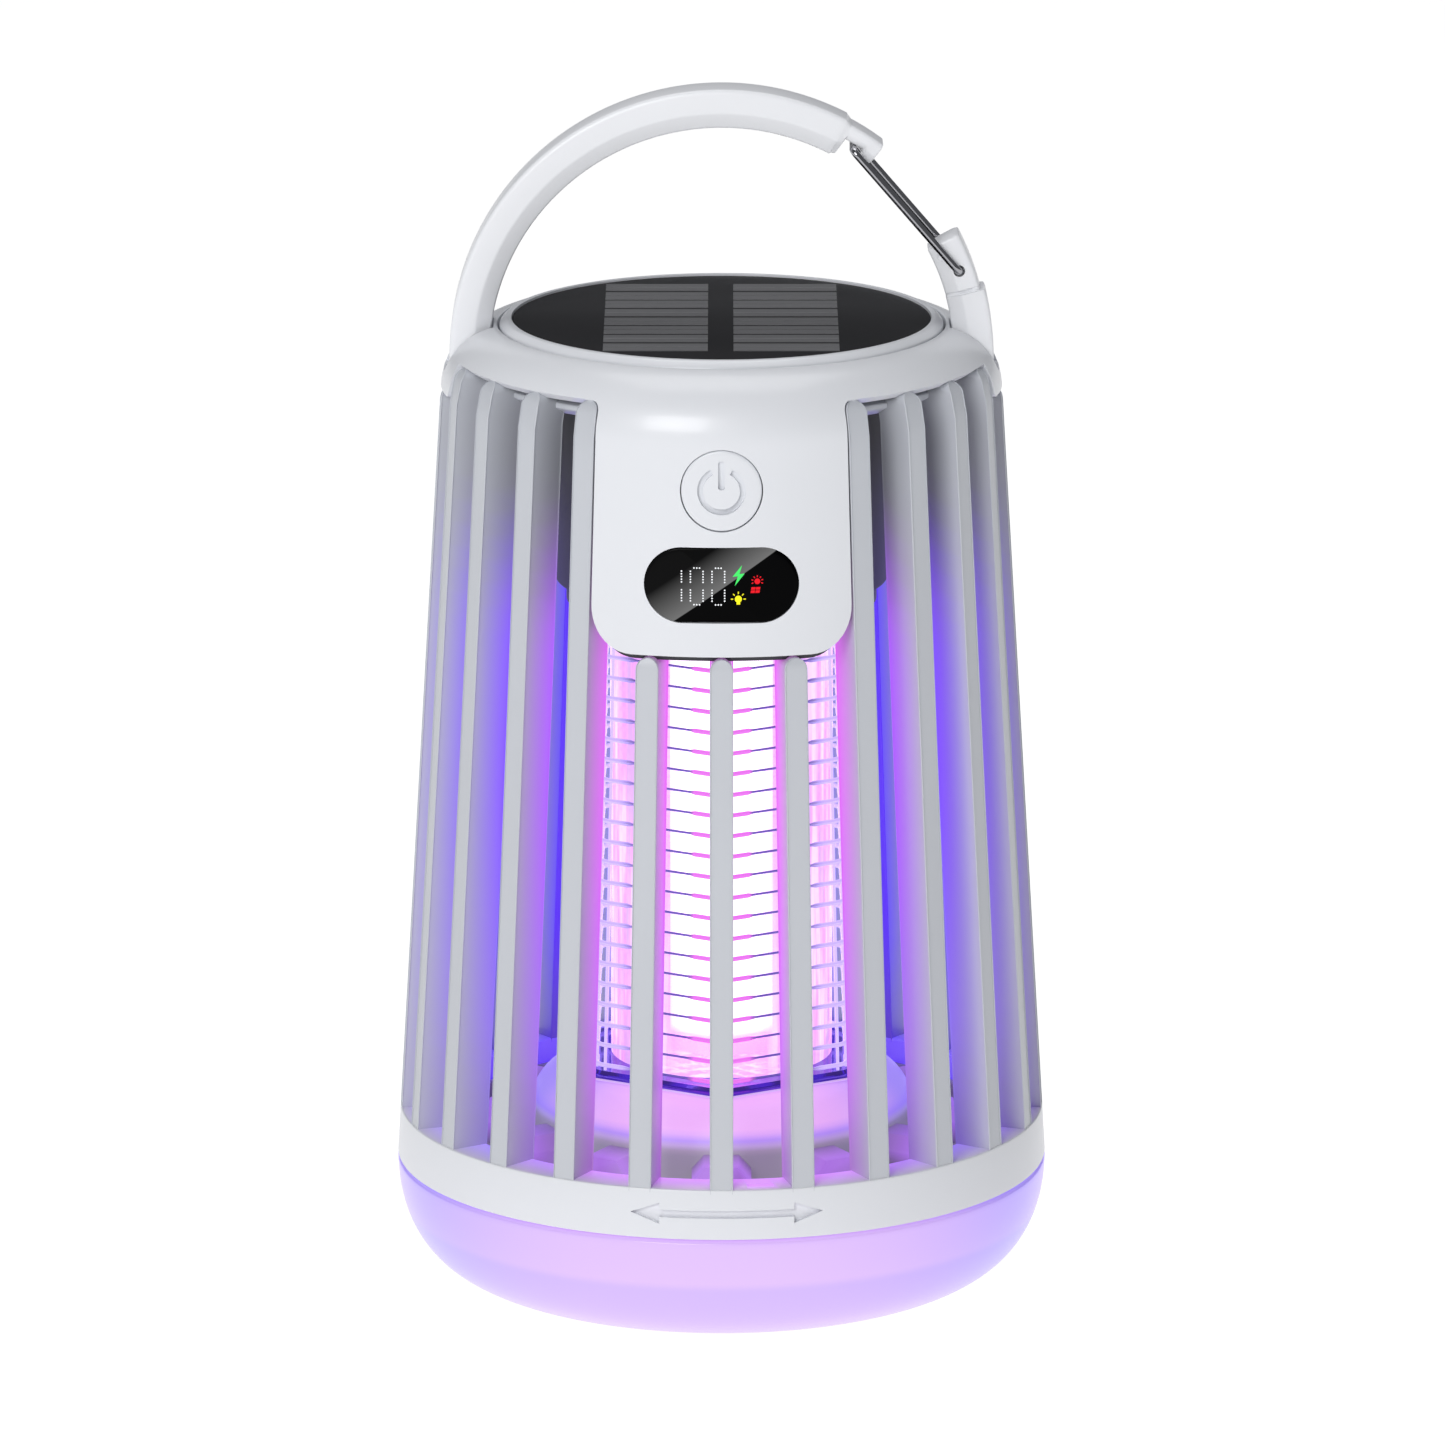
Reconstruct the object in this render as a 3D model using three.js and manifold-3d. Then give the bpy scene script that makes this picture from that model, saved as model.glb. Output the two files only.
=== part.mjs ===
// Rechargeable lantern bug zapper: a cone-shaped cage of fins round a high-voltage grid, with a head that
// holds the electronics and a solar panel, a light-up base and a carabiner handle.
// Millimetres, +Z up, origin at the centre of the base on the surface it stands on, front at -Y.
import * as THREE from 'three';
import { mergeVertices } from 'three/addons/utils/BufferGeometryUtils.js';
import { ConvexGeometry } from 'three/addons/geometries/ConvexGeometry.js';
import Module from 'manifold-3d';

const wasm = await Module();
wasm.setup();

// ---- driving dimensions ----
const GAP = 0.3; // clearance between touching pieces
const BASE_R = 64; // outer radius at the seam between base and cage band
const TAPER = 0.0612; // radius lost per millimetre of height on cage and head
const SEAM_Z = 24.6; // joint between the base lens and the cage band
const SILL_Z = 34.4; // top of the cage band
const BAND_INNER_R = 55.5;

const FIN_COUNT = 25;
const FIN_WIDTH = 4.5;
const FIN_DEPTH = 8;
const SHORT_FIN_TOP = 137.5; // fins under the aprons
const BOSS_FIN_TOP = 178.6; // fins under the handle bosses

const SHOULDER_R = 13; // radius of the head's rounded shoulder
const SHOULDER_Z = 178.5; // height of the shoulder's centre
const RIM_R = 52.3; // lower rim of the shoulder
const CAP_TOP_R = 43.9; // where the shoulder ends beside the bezel
const SKIN = 2.4; // wall of the head
const DECK_TOP = 187.3; // deck that carries the bezel and the solar panel
const APRON_BOTTOM = 138.1;
const APRON_ANGLE = 26; // half angle of the front apron, degrees
const APRON_CORNER = 9;
const REAR_ANGLE = 18.2; // half angle of the rear apron, degrees
const REAR_CORNER = 6;
const BOSS_ANGLE = 14.5; // half angle of a handle boss, degrees
const BOSS_BOTTOM = 179.2;
const RING_INNER_R = 41.5;
const RING_OUTER_R = 44.5;
const RING_BOTTOM = 180.6;

const BUTTON_R = 7.7;
const BUTTON_Z = 170;
const BUTTON_LENGTH = 4;
const WINDOW_SIZE = [29.2, 14.3];
const WINDOW_Z = 151.9;
const WINDOW_THICK = 2;
const PORT_Z = 152;
const COVER_SIZE = [15, 9];
const COVER_THICK = 1.8;

const PANEL_R = 40.6;
const PANEL_TOP = 192.3;
const BEZEL_R = 43.1;
const BEZEL_TOP = 192.5;

const DRUM_R = 32.5;
const DRUM_BOTTOM = 140.6;
const DRUM_TOP = 184.9;
const DRUM_WALL = 2;
const CONTROL_BOX = { halfWidth: 19, reach: 47.2, top: 180.2, drumSide: 24 };
const PORT_BOX = { halfWidth: 13, reach: 50.9, top: 166, drumSide: 28 };

const GRID_BOTTOM = 44.9;
const GRID_TOP = 136;
const GRID_R_BOTTOM = 28.5; // corner radius of the hexagon at its foot
const GRID_R_TOP = 26;
const WIRE_PITCH = 4.1;
const WIRE = 0.9;
const RAIL = 1.4;
const GRID_CORNER_GAP = 1.1; // from the hexagon's corner to the end of a face
const FLANGE_R = 30.5;
const FLANGE_BOTTOM = 42.9;
const SLEEVE_R = 21.8; // clear sleeve between the lamp and the wires
const SLEEVE_WALL = 1.2;
const LAMP_R = 11.2; // corner radius of the hexagonal lamp

const LENS_FLAT_R = 36.1; // radius of the flat foot
const LENS_WALL = 2.2;
const PEDESTAL_R = 38;
const TRAY_FLOOR = 27;
const LUG_COUNT = 12;

const HANDLE_Z = 185; // height of the handle's centre
const HANDLE_OUTER = 52.8;
const HANDLE_INNER = 45;
const HANDLE_WIDTH = 9;
const LEG_ANGLE = -2.2; // the legs end just below the handle's centre, degrees
const NOSE_ANGLE = 53;
const LIP_ANGLE = 55.6; // the nose hooks down as far as this behind the gate
const LIP_R = 47.6;
const NOTCH_ANGLE = 61.2; // the gate's cross bar sits in the notch between the two
const NOTCH_R = 49.4;
const STUB_STEP_ANGLE = 15;
const STUB_TOP_ANGLE = 28.2;
const STUB_TOP_R = 51.9;
const GATE_PIVOT = [46, 202.2]; // x and z of the gate's axis
const GATE_TIP = [25.4, 226.1]; // x and z of the gate's cross bar
const GATE_WIRE_R = 0.75;
const GATE_HALF_WIDTH = 5.6;
const GATE_HOLE_R = 1.2;

const SEGMENTS = 48;
const FAR = 120; // reach of cutting shapes past the object

const WHITE = { color: 0xe9ebf0, roughness: 0.35, metalness: 0 };
const FIN_GREY = { color: 0xcfd6e2, roughness: 0.4, metalness: 0 };
const DARK_GREY = { color: 0x4a4c52, roughness: 0.5, metalness: 0 };
const BLACK_GLASS = { color: 0x1a1a1d, roughness: 0.15, metalness: 0 };
const STEEL = { color: 0x9a9ca2, roughness: 0.25, metalness: 1 };
const GRID_METAL = { color: 0x8a86c8, roughness: 0.25, metalness: 1 };
const CLEAR = { color: 0xf0e2ff, roughness: 0.1, metalness: 0 };
const LENS_LILAC = { color: 0xcbb8f5, roughness: 0.35, metalness: 0 };
const BOARD_GREEN = { color: 0x2c6a45, roughness: 0.55, metalness: 0 };
const CELL_BLUE = { color: 0x2f66a8, roughness: 0.4, metalness: 0 };
const FERRITE = { color: 0x2b2b2e, roughness: 0.7, metalness: 0 };
const RUBBER = { color: 0xc9ccd4, roughness: 0.7, metalness: 0 };

// ---- solids ----
const radians = THREE.MathUtils.degToRad;

// Closed triangle mesh as a solid, its faces turned outwards.
function solidOf(geometry) {
  const bare = geometry.clone();
  bare.deleteAttribute('normal');
  bare.deleteAttribute('uv');
  const merged = mergeVertices(bare, 1e-4);
  const p = merged.attributes.position;
  const corner = [new THREE.Vector3(), new THREE.Vector3(), new THREE.Vector3()];
  const triangles = [];
  let volume = 0;
  for (let i = 0; i < merged.index.count; i += 3) {
    const ids = [0, 1, 2].map((j) => merged.index.getX(i + j));
    if (new Set(ids).size < 3) continue;
    ids.forEach((id, j) => corner[j].fromBufferAttribute(p, id));
    volume += corner[0].dot(corner[1].clone().cross(corner[2]));
    triangles.push(ids);
  }
  if (volume < 0) triangles.forEach((ids) => ids.reverse());
  const mesh = new wasm.Mesh({
    numProp: 3,
    vertProperties: new Float32Array(p.array),
    triVerts: new Uint32Array(triangles.flat()),
  });
  return new wasm.Manifold(mesh);
}

function geometryOf(solid) {
  const mesh = solid.getMesh();
  const geometry = new THREE.BufferGeometry();
  geometry.setAttribute('position', new THREE.BufferAttribute(new Float32Array(mesh.vertProperties), 3));
  geometry.setIndex(new THREE.BufferAttribute(new Uint32Array(mesh.triVerts), 1));
  geometry.computeVertexNormals();
  return geometry;
}

// Closed profile of [radius, height] pairs turned about the Z axis.
function turned(profile, segments = SEGMENTS) {
  const loop = [...profile, profile[0]].map(([r, z]) => new THREE.Vector2(r, z));
  return solidOf(new THREE.LatheGeometry(loop, segments).rotateX(Math.PI / 2));
}

function box(x0, x1, y0, y1, z0, z1) {
  const geometry = new THREE.BoxGeometry(x1 - x0, y1 - y0, z1 - z0);
  return solidOf(geometry.translate((x0 + x1) / 2, (y0 + y1) / 2, (z0 + z1) / 2));
}

function cylinderZ(radius, z0, z1, x = 0, y = 0, sides = 20) {
  const geometry = new THREE.CylinderGeometry(radius, radius, z1 - z0, sides).rotateX(Math.PI / 2);
  return solidOf(geometry.translate(x, y, (z0 + z1) / 2));
}

// Outline in the XZ plane pushed along Y, from y0 to y1.
function plateXZ(shape, y0, y1, curveSegments = 12) {
  const options = { depth: y1 - y0, bevelEnabled: false, curveSegments };
  return solidOf(new THREE.ExtrudeGeometry(shape, options).rotateX(Math.PI / 2).translate(0, y1, 0));
}

// Prism over the slice of the XY plane within halfAngle of the front, turned by turn degrees about Z.
function wedge(halfAngle, turn, z0, z1) {
  const x = FAR * Math.sin(radians(halfAngle));
  const y = FAR * Math.cos(radians(halfAngle));
  const shape = new THREE.Shape();
  shape.moveTo(0, 0);
  shape.lineTo(-x, -y);
  shape.lineTo(x, -y);
  const geometry = new THREE.ExtrudeGeometry(shape, { depth: z1 - z0, bevelEnabled: false });
  return solidOf(geometry.translate(0, 0, z0).rotateZ(radians(turn)));
}

// Rectangle centred on x = 0 with rounded ends or corners, as an outline in the XZ plane.
function roundedOutline(width, z0, z1, radius) {
  const w = width / 2;
  const shape = new THREE.Shape();
  shape.moveTo(-w + radius, z0);
  shape.absarc(w - radius, z0 + radius, radius, -Math.PI / 2, 0);
  shape.absarc(w - radius, z1 - radius, radius, 0, Math.PI / 2);
  shape.absarc(-w + radius, z1 - radius, radius, Math.PI / 2, Math.PI);
  shape.absarc(-w + radius, z0 + radius, radius, Math.PI, Math.PI * 1.5);
  return shape;
}

const pill = ([width, height], z, grow = 0) => {
  const h = height / 2 + grow;
  return roundedOutline(width + 2 * grow, z - h, z + h, h - 0.01);
};

const material = (finish) => new THREE.MeshStandardMaterial(finish);

const object = new THREE.Group();

function add(name, solid, finish) {
  const mesh = new THREE.Mesh(geometryOf(solid), material(finish));
  mesh.name = name;
  object.add(mesh);
  return mesh;
}

// ---- outer skin shared by fins and head ----
const coneR = (z) => BASE_R - TAPER * (z - SEAM_Z);
const SLOPE = Math.atan(TAPER);
const TANGENT_Z = SHOULDER_Z + SHOULDER_R * Math.sin(SLOPE);
const SHOULDER_CENTRE_R = coneR(TANGENT_Z) - SHOULDER_R * Math.cos(SLOPE);

// Point of the shoulder arc, moved inwards by inset, at an angle above the horizontal.
function shoulderPoint(angle, inset = 0) {
  const r = SHOULDER_R - inset;
  return [SHOULDER_CENTRE_R + r * Math.cos(angle), SHOULDER_Z + r * Math.sin(angle)];
}

const shoulderAngle = (radius, inset = 0) =>
  Math.acos((radius - SHOULDER_CENTRE_R) / (SHOULDER_R - inset));

function shoulderArc(from, to, steps, inset = 0) {
  return Array.from({ length: steps + 1 }, (_, i) => shoulderPoint(from + ((to - from) * i) / steps, inset));
}

// Angles that every piece of the head's skin shares: from the cone to the rim, then on to the bezel.
const BELOW_RIM = 4;
const ABOVE_RIM = 6;
const RIM_ANGLE = shoulderAngle(RIM_R);
const TOP_ANGLE = shoulderAngle(CAP_TOP_R);
const HEAD_ANGLES = [
  ...Array.from({ length: BELOW_RIM }, (_, i) => SLOPE + ((RIM_ANGLE - SLOPE) * i) / BELOW_RIM),
  ...Array.from({ length: ABOVE_RIM + 1 }, (_, i) => RIM_ANGLE + ((TOP_ANGLE - RIM_ANGLE) * i) / ABOVE_RIM),
];

const headArc = (first, last, inset = 0) =>
  HEAD_ANGLES.slice(first, last + 1).map((angle) => shoulderPoint(angle, inset));

// Wall of the head from height bottom up the cone, ending one step inside the shoulder.
function headSkin(bottom) {
  const outer = headArc(0, BELOW_RIM + 1);
  const inner = headArc(0, BELOW_RIM + 1, SKIN);
  return turned([[coneR(bottom), bottom], ...outer, ...inner.reverse(), [coneR(bottom) - SKIN, bottom]]);
}

// ---- cage ----
function arrowOutline() {
  const [half, head, headHalf, shaftHalf, z, x] = [18.5, 5.5, 2.05, 0.75, 29.6, 1];
  const shape = new THREE.Shape();
  shape.moveTo(x - half, z);
  shape.lineTo(x - half + head, z - headHalf);
  shape.lineTo(x - half + head, z - shaftHalf);
  shape.lineTo(x + half - head, z - shaftHalf);
  shape.lineTo(x + half - head, z - headHalf);
  shape.lineTo(x + half, z);
  shape.lineTo(x + half - head, z + headHalf);
  shape.lineTo(x + half - head, z + shaftHalf);
  shape.lineTo(x - half + head, z + shaftHalf);
  shape.lineTo(x - half + head, z + headHalf);
  return shape;
}

function cageBand() {
  const engraving = 0.6;
  const body = turned([
    [BAND_INNER_R, SEAM_Z],
    [coneR(SEAM_Z), SEAM_Z],
    [coneR(SILL_Z), SILL_Z],
    [BAND_INNER_R, SILL_Z],
  ]);
  const skinDepth = turned([
    [coneR(SEAM_Z) - engraving, SEAM_Z],
    [coneR(SEAM_Z) + 1, SEAM_Z],
    [coneR(SILL_Z) + 1, SILL_Z],
    [coneR(SILL_Z) - engraving, SILL_Z],
  ]);
  return body.subtract(skinDepth.intersect(plateXZ(arrowOutline(), -FAR, 0)));
}

// One fin, standing on the band, with its outer edge on the skin and its top at height top.
function fin(index) {
  const fromFront = Math.min(index, FIN_COUNT - index);
  const underFront = fromFront <= 1;
  const underRear = fromFront === 12;
  const underBoss = fromFront === 6 || fromFront === 7;
  const profile = new THREE.Shape();
  const bottom = SILL_Z + GAP;
  profile.moveTo(coneR(bottom) - FIN_DEPTH, bottom);
  profile.lineTo(coneR(bottom), bottom);
  if (underFront || underRear || underBoss) {
    const top = underBoss ? BOSS_FIN_TOP : SHORT_FIN_TOP;
    const round = FIN_WIDTH / 2;
    profile.lineTo(coneR(top), top - round);
    profile.lineTo(coneR(top) - round, top);
    profile.lineTo(coneR(top) - FIN_DEPTH, top);
  } else {
    const end = shoulderAngle(RIM_R, GAP) - radians(3);
    shoulderArc(SLOPE, end, 5).forEach(([r, z]) => profile.lineTo(r, z));
    const [rimR, rimZ] = shoulderPoint(end);
    profile.lineTo(RING_OUTER_R + 4, rimZ - 3.4);
    profile.lineTo(RING_OUTER_R + GAP, rimZ - 3.4);
    profile.lineTo(Math.min(rimR, coneR(RING_BOTTOM)) - FIN_DEPTH + 1.9, RING_BOTTOM - 3);
    profile.lineTo(coneR(RING_BOTTOM) - FIN_DEPTH, RING_BOTTOM - 4);
  }
  const geometry = new THREE.ExtrudeGeometry(profile, { depth: FIN_WIDTH, bevelEnabled: false });
  geometry.translate(0, 0, -FIN_WIDTH / 2).rotateX(Math.PI / 2);
  return solidOf(geometry.rotateZ(-Math.PI / 2 + (index * 2 * Math.PI) / FIN_COUNT));
}

function cageTopRing() {
  const top = DECK_TOP - 2 - GAP;
  return turned([
    [RING_INNER_R, RING_BOTTOM],
    [RING_OUTER_R, RING_BOTTOM],
    [RING_OUTER_R, top],
    [RING_INNER_R, top],
  ]);
}

// ---- head ----
function shoulderShell() {
  const last = BELOW_RIM + ABOVE_RIM;
  const outer = headArc(BELOW_RIM, last);
  const inner = headArc(BELOW_RIM, last - 3, SKIN).reverse();
  const wellR = CAP_TOP_R - 0.4;
  const deckHole = 14;
  return turned([
    ...outer,
    [wellR, outer.at(-1)[1]],
    [wellR, DECK_TOP],
    [deckHole, DECK_TOP],
    [deckHole, DECK_TOP - 2],
    [inner[0][0] - 1, DECK_TOP - 2],
    ...inner,
  ]);
}

function apron(halfAngle, corner, turn) {
  const width = 2 * coneR(APRON_BOTTOM) * Math.sin(radians(halfAngle));
  const outline = plateXZ(roundedOutline(width, APRON_BOTTOM, APRON_BOTTOM + 70, corner), -FAR, 0);
  const front = headSkin(APRON_BOTTOM).intersect(wedge(halfAngle, 0, 0, 250)).intersect(outline);
  return front.rotate([0, 0, turn]);
}

// Solid block under the shoulder that holds one leg of the handle.
function handleBoss(turn) {
  const innerR = 44.2;
  const arc = headArc(0, BELOW_RIM + ABOVE_RIM - 1);
  const ring = turned([[innerR, BOSS_BOTTOM], [coneR(BOSS_BOTTOM), BOSS_BOTTOM], ...arc, [innerR, arc.at(-1)[1]]]);
  const ringRoom = turned([
    [innerR - 1, RING_BOTTOM - GAP],
    [RING_OUTER_R + GAP, RING_BOTTOM - GAP],
    [RING_OUTER_R + GAP, DECK_TOP - 2],
    [innerR - 1, DECK_TOP - 2],
  ]);
  return ring.subtract(ringRoom).intersect(wedge(BOSS_ANGLE, turn, 0, 250));
}

function legSlot(side) {
  const floor = HANDLE_Z + HANDLE_OUTER * Math.sin(radians(LEG_ANGLE)) - GAP;
  const half = HANDLE_WIDTH / 2 + GAP;
  const xs = [44.2, 60].map((x) => side * x).sort((a, b) => a - b);
  return box(xs[0], xs[1], -half, half, floor, 200);
}

const coverHole = pill(COVER_SIZE, PORT_Z, GAP);

function topCap() {
  const buttonHole = plateXZ(circleXZ(BUTTON_R + GAP, BUTTON_Z), -FAR, 0, 16);
  const windowHole = plateXZ(pill(WINDOW_SIZE, WINDOW_Z, GAP), -FAR, 0, 8);
  return shoulderShell()
    .add(apron(APRON_ANGLE, APRON_CORNER, 0))
    .add(apron(REAR_ANGLE, REAR_CORNER, 180))
    .add(handleBoss(90))
    .add(handleBoss(-90))
    .subtract(legSlot(1))
    .subtract(legSlot(-1))
    .subtract(buttonHole)
    .subtract(windowHole)
    .subtract(plateXZ(coverHole, 0, FAR, 8));
}

function circleXZ(radius, z, x = 0) {
  const shape = new THREE.Shape();
  shape.absarc(x, z, radius, 0, Math.PI * 2);
  return shape;
}

// Piece of the skin between depth outer and depth inner below the cone, cut to an outline at the front.
function skinPiece(outline, outer, inner, y0, y1, curveSegments) {
  const [z0, z1] = [APRON_BOTTOM, TANGENT_Z];
  const shell = turned(
    [
      [coneR(z0) - inner, z0],
      [coneR(z0) - outer, z0],
      [coneR(z1) - outer, z1],
      [coneR(z1) - inner, z1],
    ],
    90,
  );
  return shell.intersect(plateXZ(outline, y0, y1, curveSegments));
}

function displayWindow() {
  return skinPiece(pill(WINDOW_SIZE, WINDOW_Z), 0.15, 0.15 + WINDOW_THICK, -FAR, 0, 8);
}

function powerButton() {
  return skinPiece(circleXZ(BUTTON_R, BUTTON_Z), 0.1, 0.1 + BUTTON_LENGTH, -FAR, 0, 16);
}

function portCover() {
  return skinPiece(pill(COVER_SIZE, PORT_Z), 0.1, 0.1 + COVER_THICK, 0, FAR, 8);
}

function solarBezel() {
  const bottom = DECK_TOP + GAP;
  const lip = BEZEL_TOP - 0.4;
  return turned([
    [PANEL_R - 2, bottom],
    [BEZEL_R, bottom],
    [BEZEL_R, BEZEL_TOP - 0.8],
    [BEZEL_R - 0.8, BEZEL_TOP],
    [PANEL_R + GAP, lip],
    [PANEL_R + GAP, bottom + 1.4],
    [PANEL_R - 2, bottom + 1.4],
  ]);
}

function solarPanel() {
  const bottom = DECK_TOP + GAP + 1.4 + GAP;
  return turned([[0, bottom], [PANEL_R, bottom], [PANEL_R, PANEL_TOP], [0, PANEL_TOP]]);
}

// ---- electronics ----
function electronicsDrum(screwPlaces) {
  const innerR = DRUM_R - DRUM_WALL;
  const wireHoleR = 5;
  const floor = DRUM_BOTTOM + DRUM_WALL;
  let drum = turned(
    [
      [wireHoleR, DRUM_BOTTOM],
      [DRUM_R, DRUM_BOTTOM],
      [DRUM_R, DRUM_TOP],
      [innerR, DRUM_TOP],
      [innerR, floor],
      [wireHoleR, floor],
    ],
    48,
  );
  screwPlaces.forEach(([x, y]) => {
    drum = drum.subtract(cylinderZ(1.8, DRUM_BOTTOM - 1, floor + 1, x, y, 12));
  });
  return drum;
}

// Box from the drum out to an apron, open towards the apron; side is -1 for the front and 1 for the rear.
function apronBox({ halfWidth, reach, top, drumSide }, side) {
  const span = (from, to) => [side * from, side * to].sort((a, b) => a - b);
  const outer = box(-halfWidth, halfWidth, ...span(drumSide, reach), DRUM_BOTTOM, top);
  const [w, floor] = [halfWidth - DRUM_WALL, DRUM_BOTTOM + DRUM_WALL];
  const inner = box(-w, w, ...span(DRUM_R + DRUM_WALL, reach + 1), floor, top - DRUM_WALL);
  return outer.subtract(inner).subtract(cylinderZ(DRUM_R + GAP, 0, 250, 0, 0, 48));
}

function buttonSwitch() {
  const body = box(-3, 3, -49, -47.7, BUTTON_Z - 3, BUTTON_Z + 3);
  return body.add(plateXZ(circleXZ(1.7, BUTTON_Z), -50, -48.5, 12));
}

const displayBoard = () => box(-16, 16, -47.4, -45.8, 145, 177);

function mainBoard() {
  const parts = [[-20, 8, 150, 158], [-8, 8, 165, 173], [14, 9, 162, 176]];
  let board = box(-27, 27, -12, -10.4, 146, 182);
  parts.forEach(([x, w, z0, z1]) => {
    board = board.add(box(x, x + w, -14.5, -11, z0, z1));
  });
  return board;
}

const hvTransformer = () => box(-9, 9, -9.9, 1.5, 150, 166);

function batteryCell() {
  const cell = new THREE.CylinderGeometry(7.2, 7.2, 49, 24).rotateZ(Math.PI / 2).translate(0, 9.5, 160);
  const button = new THREE.CylinderGeometry(2.8, 2.8, 3, 16).rotateZ(Math.PI / 2).translate(24.7, 9.5, 160);
  return solidOf(cell).add(solidOf(button));
}

function chargePort() {
  const shell = plateXZ(roundedOutline(9.2, PORT_Z - 1.7, PORT_Z + 1.7, 1.6), 44, 53, 3);
  const mouth = plateXZ(roundedOutline(8.4, PORT_Z - 1.3, PORT_Z + 1.3, 1.25), 46, 54, 3);
  const tongue = box(-3.2, 3.2, 45, 51.5, PORT_Z - 0.35, PORT_Z + 0.35);
  return shell.subtract(mouth).add(tongue).add(box(-9, 9, 36, 52, PORT_Z - 3.5, PORT_Z - 1.6));
}

// ---- high-voltage grid and lamp ----
const gridR = (z) => {
  const t = (z - GRID_BOTTOM) / (GRID_TOP - GRID_BOTTOM);
  return GRID_R_BOTTOM + (GRID_R_TOP - GRID_R_BOTTOM) * t;
};

// Ladder of horizontal wires between two rails, lying in one leaning face of the hexagon.
function gridFace(index) {
  const apothem = (r) => r * Math.cos(Math.PI / 6);
  const lean = Math.atan2(apothem(GRID_R_BOTTOM) - apothem(GRID_R_TOP), GRID_TOP - GRID_BOTTOM);
  const height = (GRID_TOP - GRID_BOTTOM) / Math.cos(lean) - 1;
  const half = (v) => gridR(GRID_BOTTOM + v * Math.cos(lean)) / 2 - GRID_CORNER_GAP;
  const shape = new THREE.Shape();
  shape.moveTo(-half(0), 0);
  shape.lineTo(half(0), 0);
  shape.lineTo(half(height), height);
  shape.lineTo(-half(height), height);
  const count = Math.floor((height - WIRE) / WIRE_PITCH);
  for (let i = 0; i < count; i += 1) {
    const v0 = WIRE + i * WIRE_PITCH;
    const v1 = v0 + WIRE_PITCH - WIRE;
    const hole = new THREE.Path();
    hole.moveTo(-half(v0) + RAIL, v0);
    hole.lineTo(-half(v1) + RAIL, v1);
    hole.lineTo(half(v1) - RAIL, v1);
    hole.lineTo(half(v0) - RAIL, v0);
    shape.holes.push(hole);
  }
  const geometry = new THREE.ExtrudeGeometry(shape, { depth: WIRE, bevelEnabled: false });
  geometry.rotateX(Math.PI / 2 - lean).translate(0, -apothem(GRID_R_BOTTOM), GRID_BOTTOM + 0.1);
  return solidOf(geometry.rotateZ(radians(30 + 60 * index)));
}

function gridBasePlate() {
  const flange = new THREE.CylinderGeometry(FLANGE_R, FLANGE_R, 1.7, 6).rotateX(Math.PI / 2);
  return solidOf(flange.translate(0, 0, FLANGE_BOTTOM + 0.85));
}

function gridTopPlate(screwPlaces) {
  let plate = turned([[5, 136.3], [30.5, 136.3], [30.5, 140.3], [5, 140.3]], 48);
  screwPlaces.forEach(([x, y]) => {
    plate = plate.subtract(cylinderZ(1.8, 135, 141, x, y, 12));
  });
  return plate;
}

function plateScrew([x, y]) {
  return cylinderZ(1.45, 134, 147, x, y, 12).add(cylinderZ(2.7, 134, 136, x, y, 16));
}

function lampSleeve() {
  const [bottom, top, innerR] = [GRID_BOTTOM, 135.9, SLEEVE_R - SLEEVE_WALL];
  const floor = bottom + SLEEVE_WALL;
  return turned([[0, bottom], [SLEEVE_R, bottom], [SLEEVE_R, top], [innerR, top], [innerR, floor], [0, floor]], 32);
}

// Hexagonal column of diode boards behind a frosted cover, with a collar at each end.
function uvLamp() {
  const hexagon = (radius, z0, z1) => {
    const prism = new THREE.CylinderGeometry(radius, radius, z1 - z0, 6).rotateX(Math.PI / 2);
    return solidOf(prism.translate(0, 0, (z0 + z1) / 2));
  };
  const [bottom, top, collar] = [GRID_BOTTOM + SLEEVE_WALL + GAP, 135.4, 3];
  return hexagon(LAMP_R, bottom, top)
    .add(hexagon(LAMP_R + 1.4, bottom, bottom + collar))
    .add(hexagon(LAMP_R + 1.4, top - collar, top));
}

// ---- base ----
// Rounded side of the lens: a curve from the flat foot (t = 0) to the seam (t = 90 degrees).
function lensCurve(steps, inset) {
  const [powerR, powerZ] = [2 / 2.9, 2 / 2.22];
  const height = SEAM_Z - inset;
  const points = [];
  for (let i = 0; i <= steps; i += 1) {
    const t = ((i / steps) * Math.PI) / 2;
    const r = LENS_FLAT_R + (BASE_R - inset - LENS_FLAT_R) * Math.sin(t) ** powerR;
    points.push([r, Math.min(SEAM_Z - height * Math.cos(t) ** powerZ, SEAM_Z - GAP)]);
  }
  return points;
}

function baseLens() {
  const outer = lensCurve(8, 0);
  const inner = lensCurve(5, LENS_WALL).reverse();
  return turned([[0, 0], ...outer, ...inner, [0, LENS_WALL]]);
}

// Insect tray with the pedestal that the grid stands over, its locating lugs and the light board's posts.
function baseTray() {
  let tray = turned([
    [61.2, 22.3],
    [61.2, 24.2],
    [55.0, 24.2],
    [55.0, 30.0],
    [53.2, 30.0],
    [53.2, TRAY_FLOOR],
    [PEDESTAL_R, TRAY_FLOOR],
    [PEDESTAL_R, 35.6],
    [36.2, 38.9],
    [33.6, 41.4],
    [30.0, 42.6],
    [8.0, 42.6],
    [8.0, 40.6],
    [29.5, 40.6],
    [36.0, 35.0],
    [36.0, 25.0],
    [53.0, 25.0],
    [53.0, 22.3],
  ]);
  for (let i = 0; i < LUG_COUNT; i += 1) tray = tray.add(trayLug((i * 360) / LUG_COUNT));
  for (let i = 0; i < 3; i += 1) {
    const angle = radians(30 + 120 * i);
    tray = tray.add(cylinderZ(3, 17, 25.5, 45 * Math.cos(angle), 45 * Math.sin(angle), 12));
  }
  return tray;
}

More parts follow.
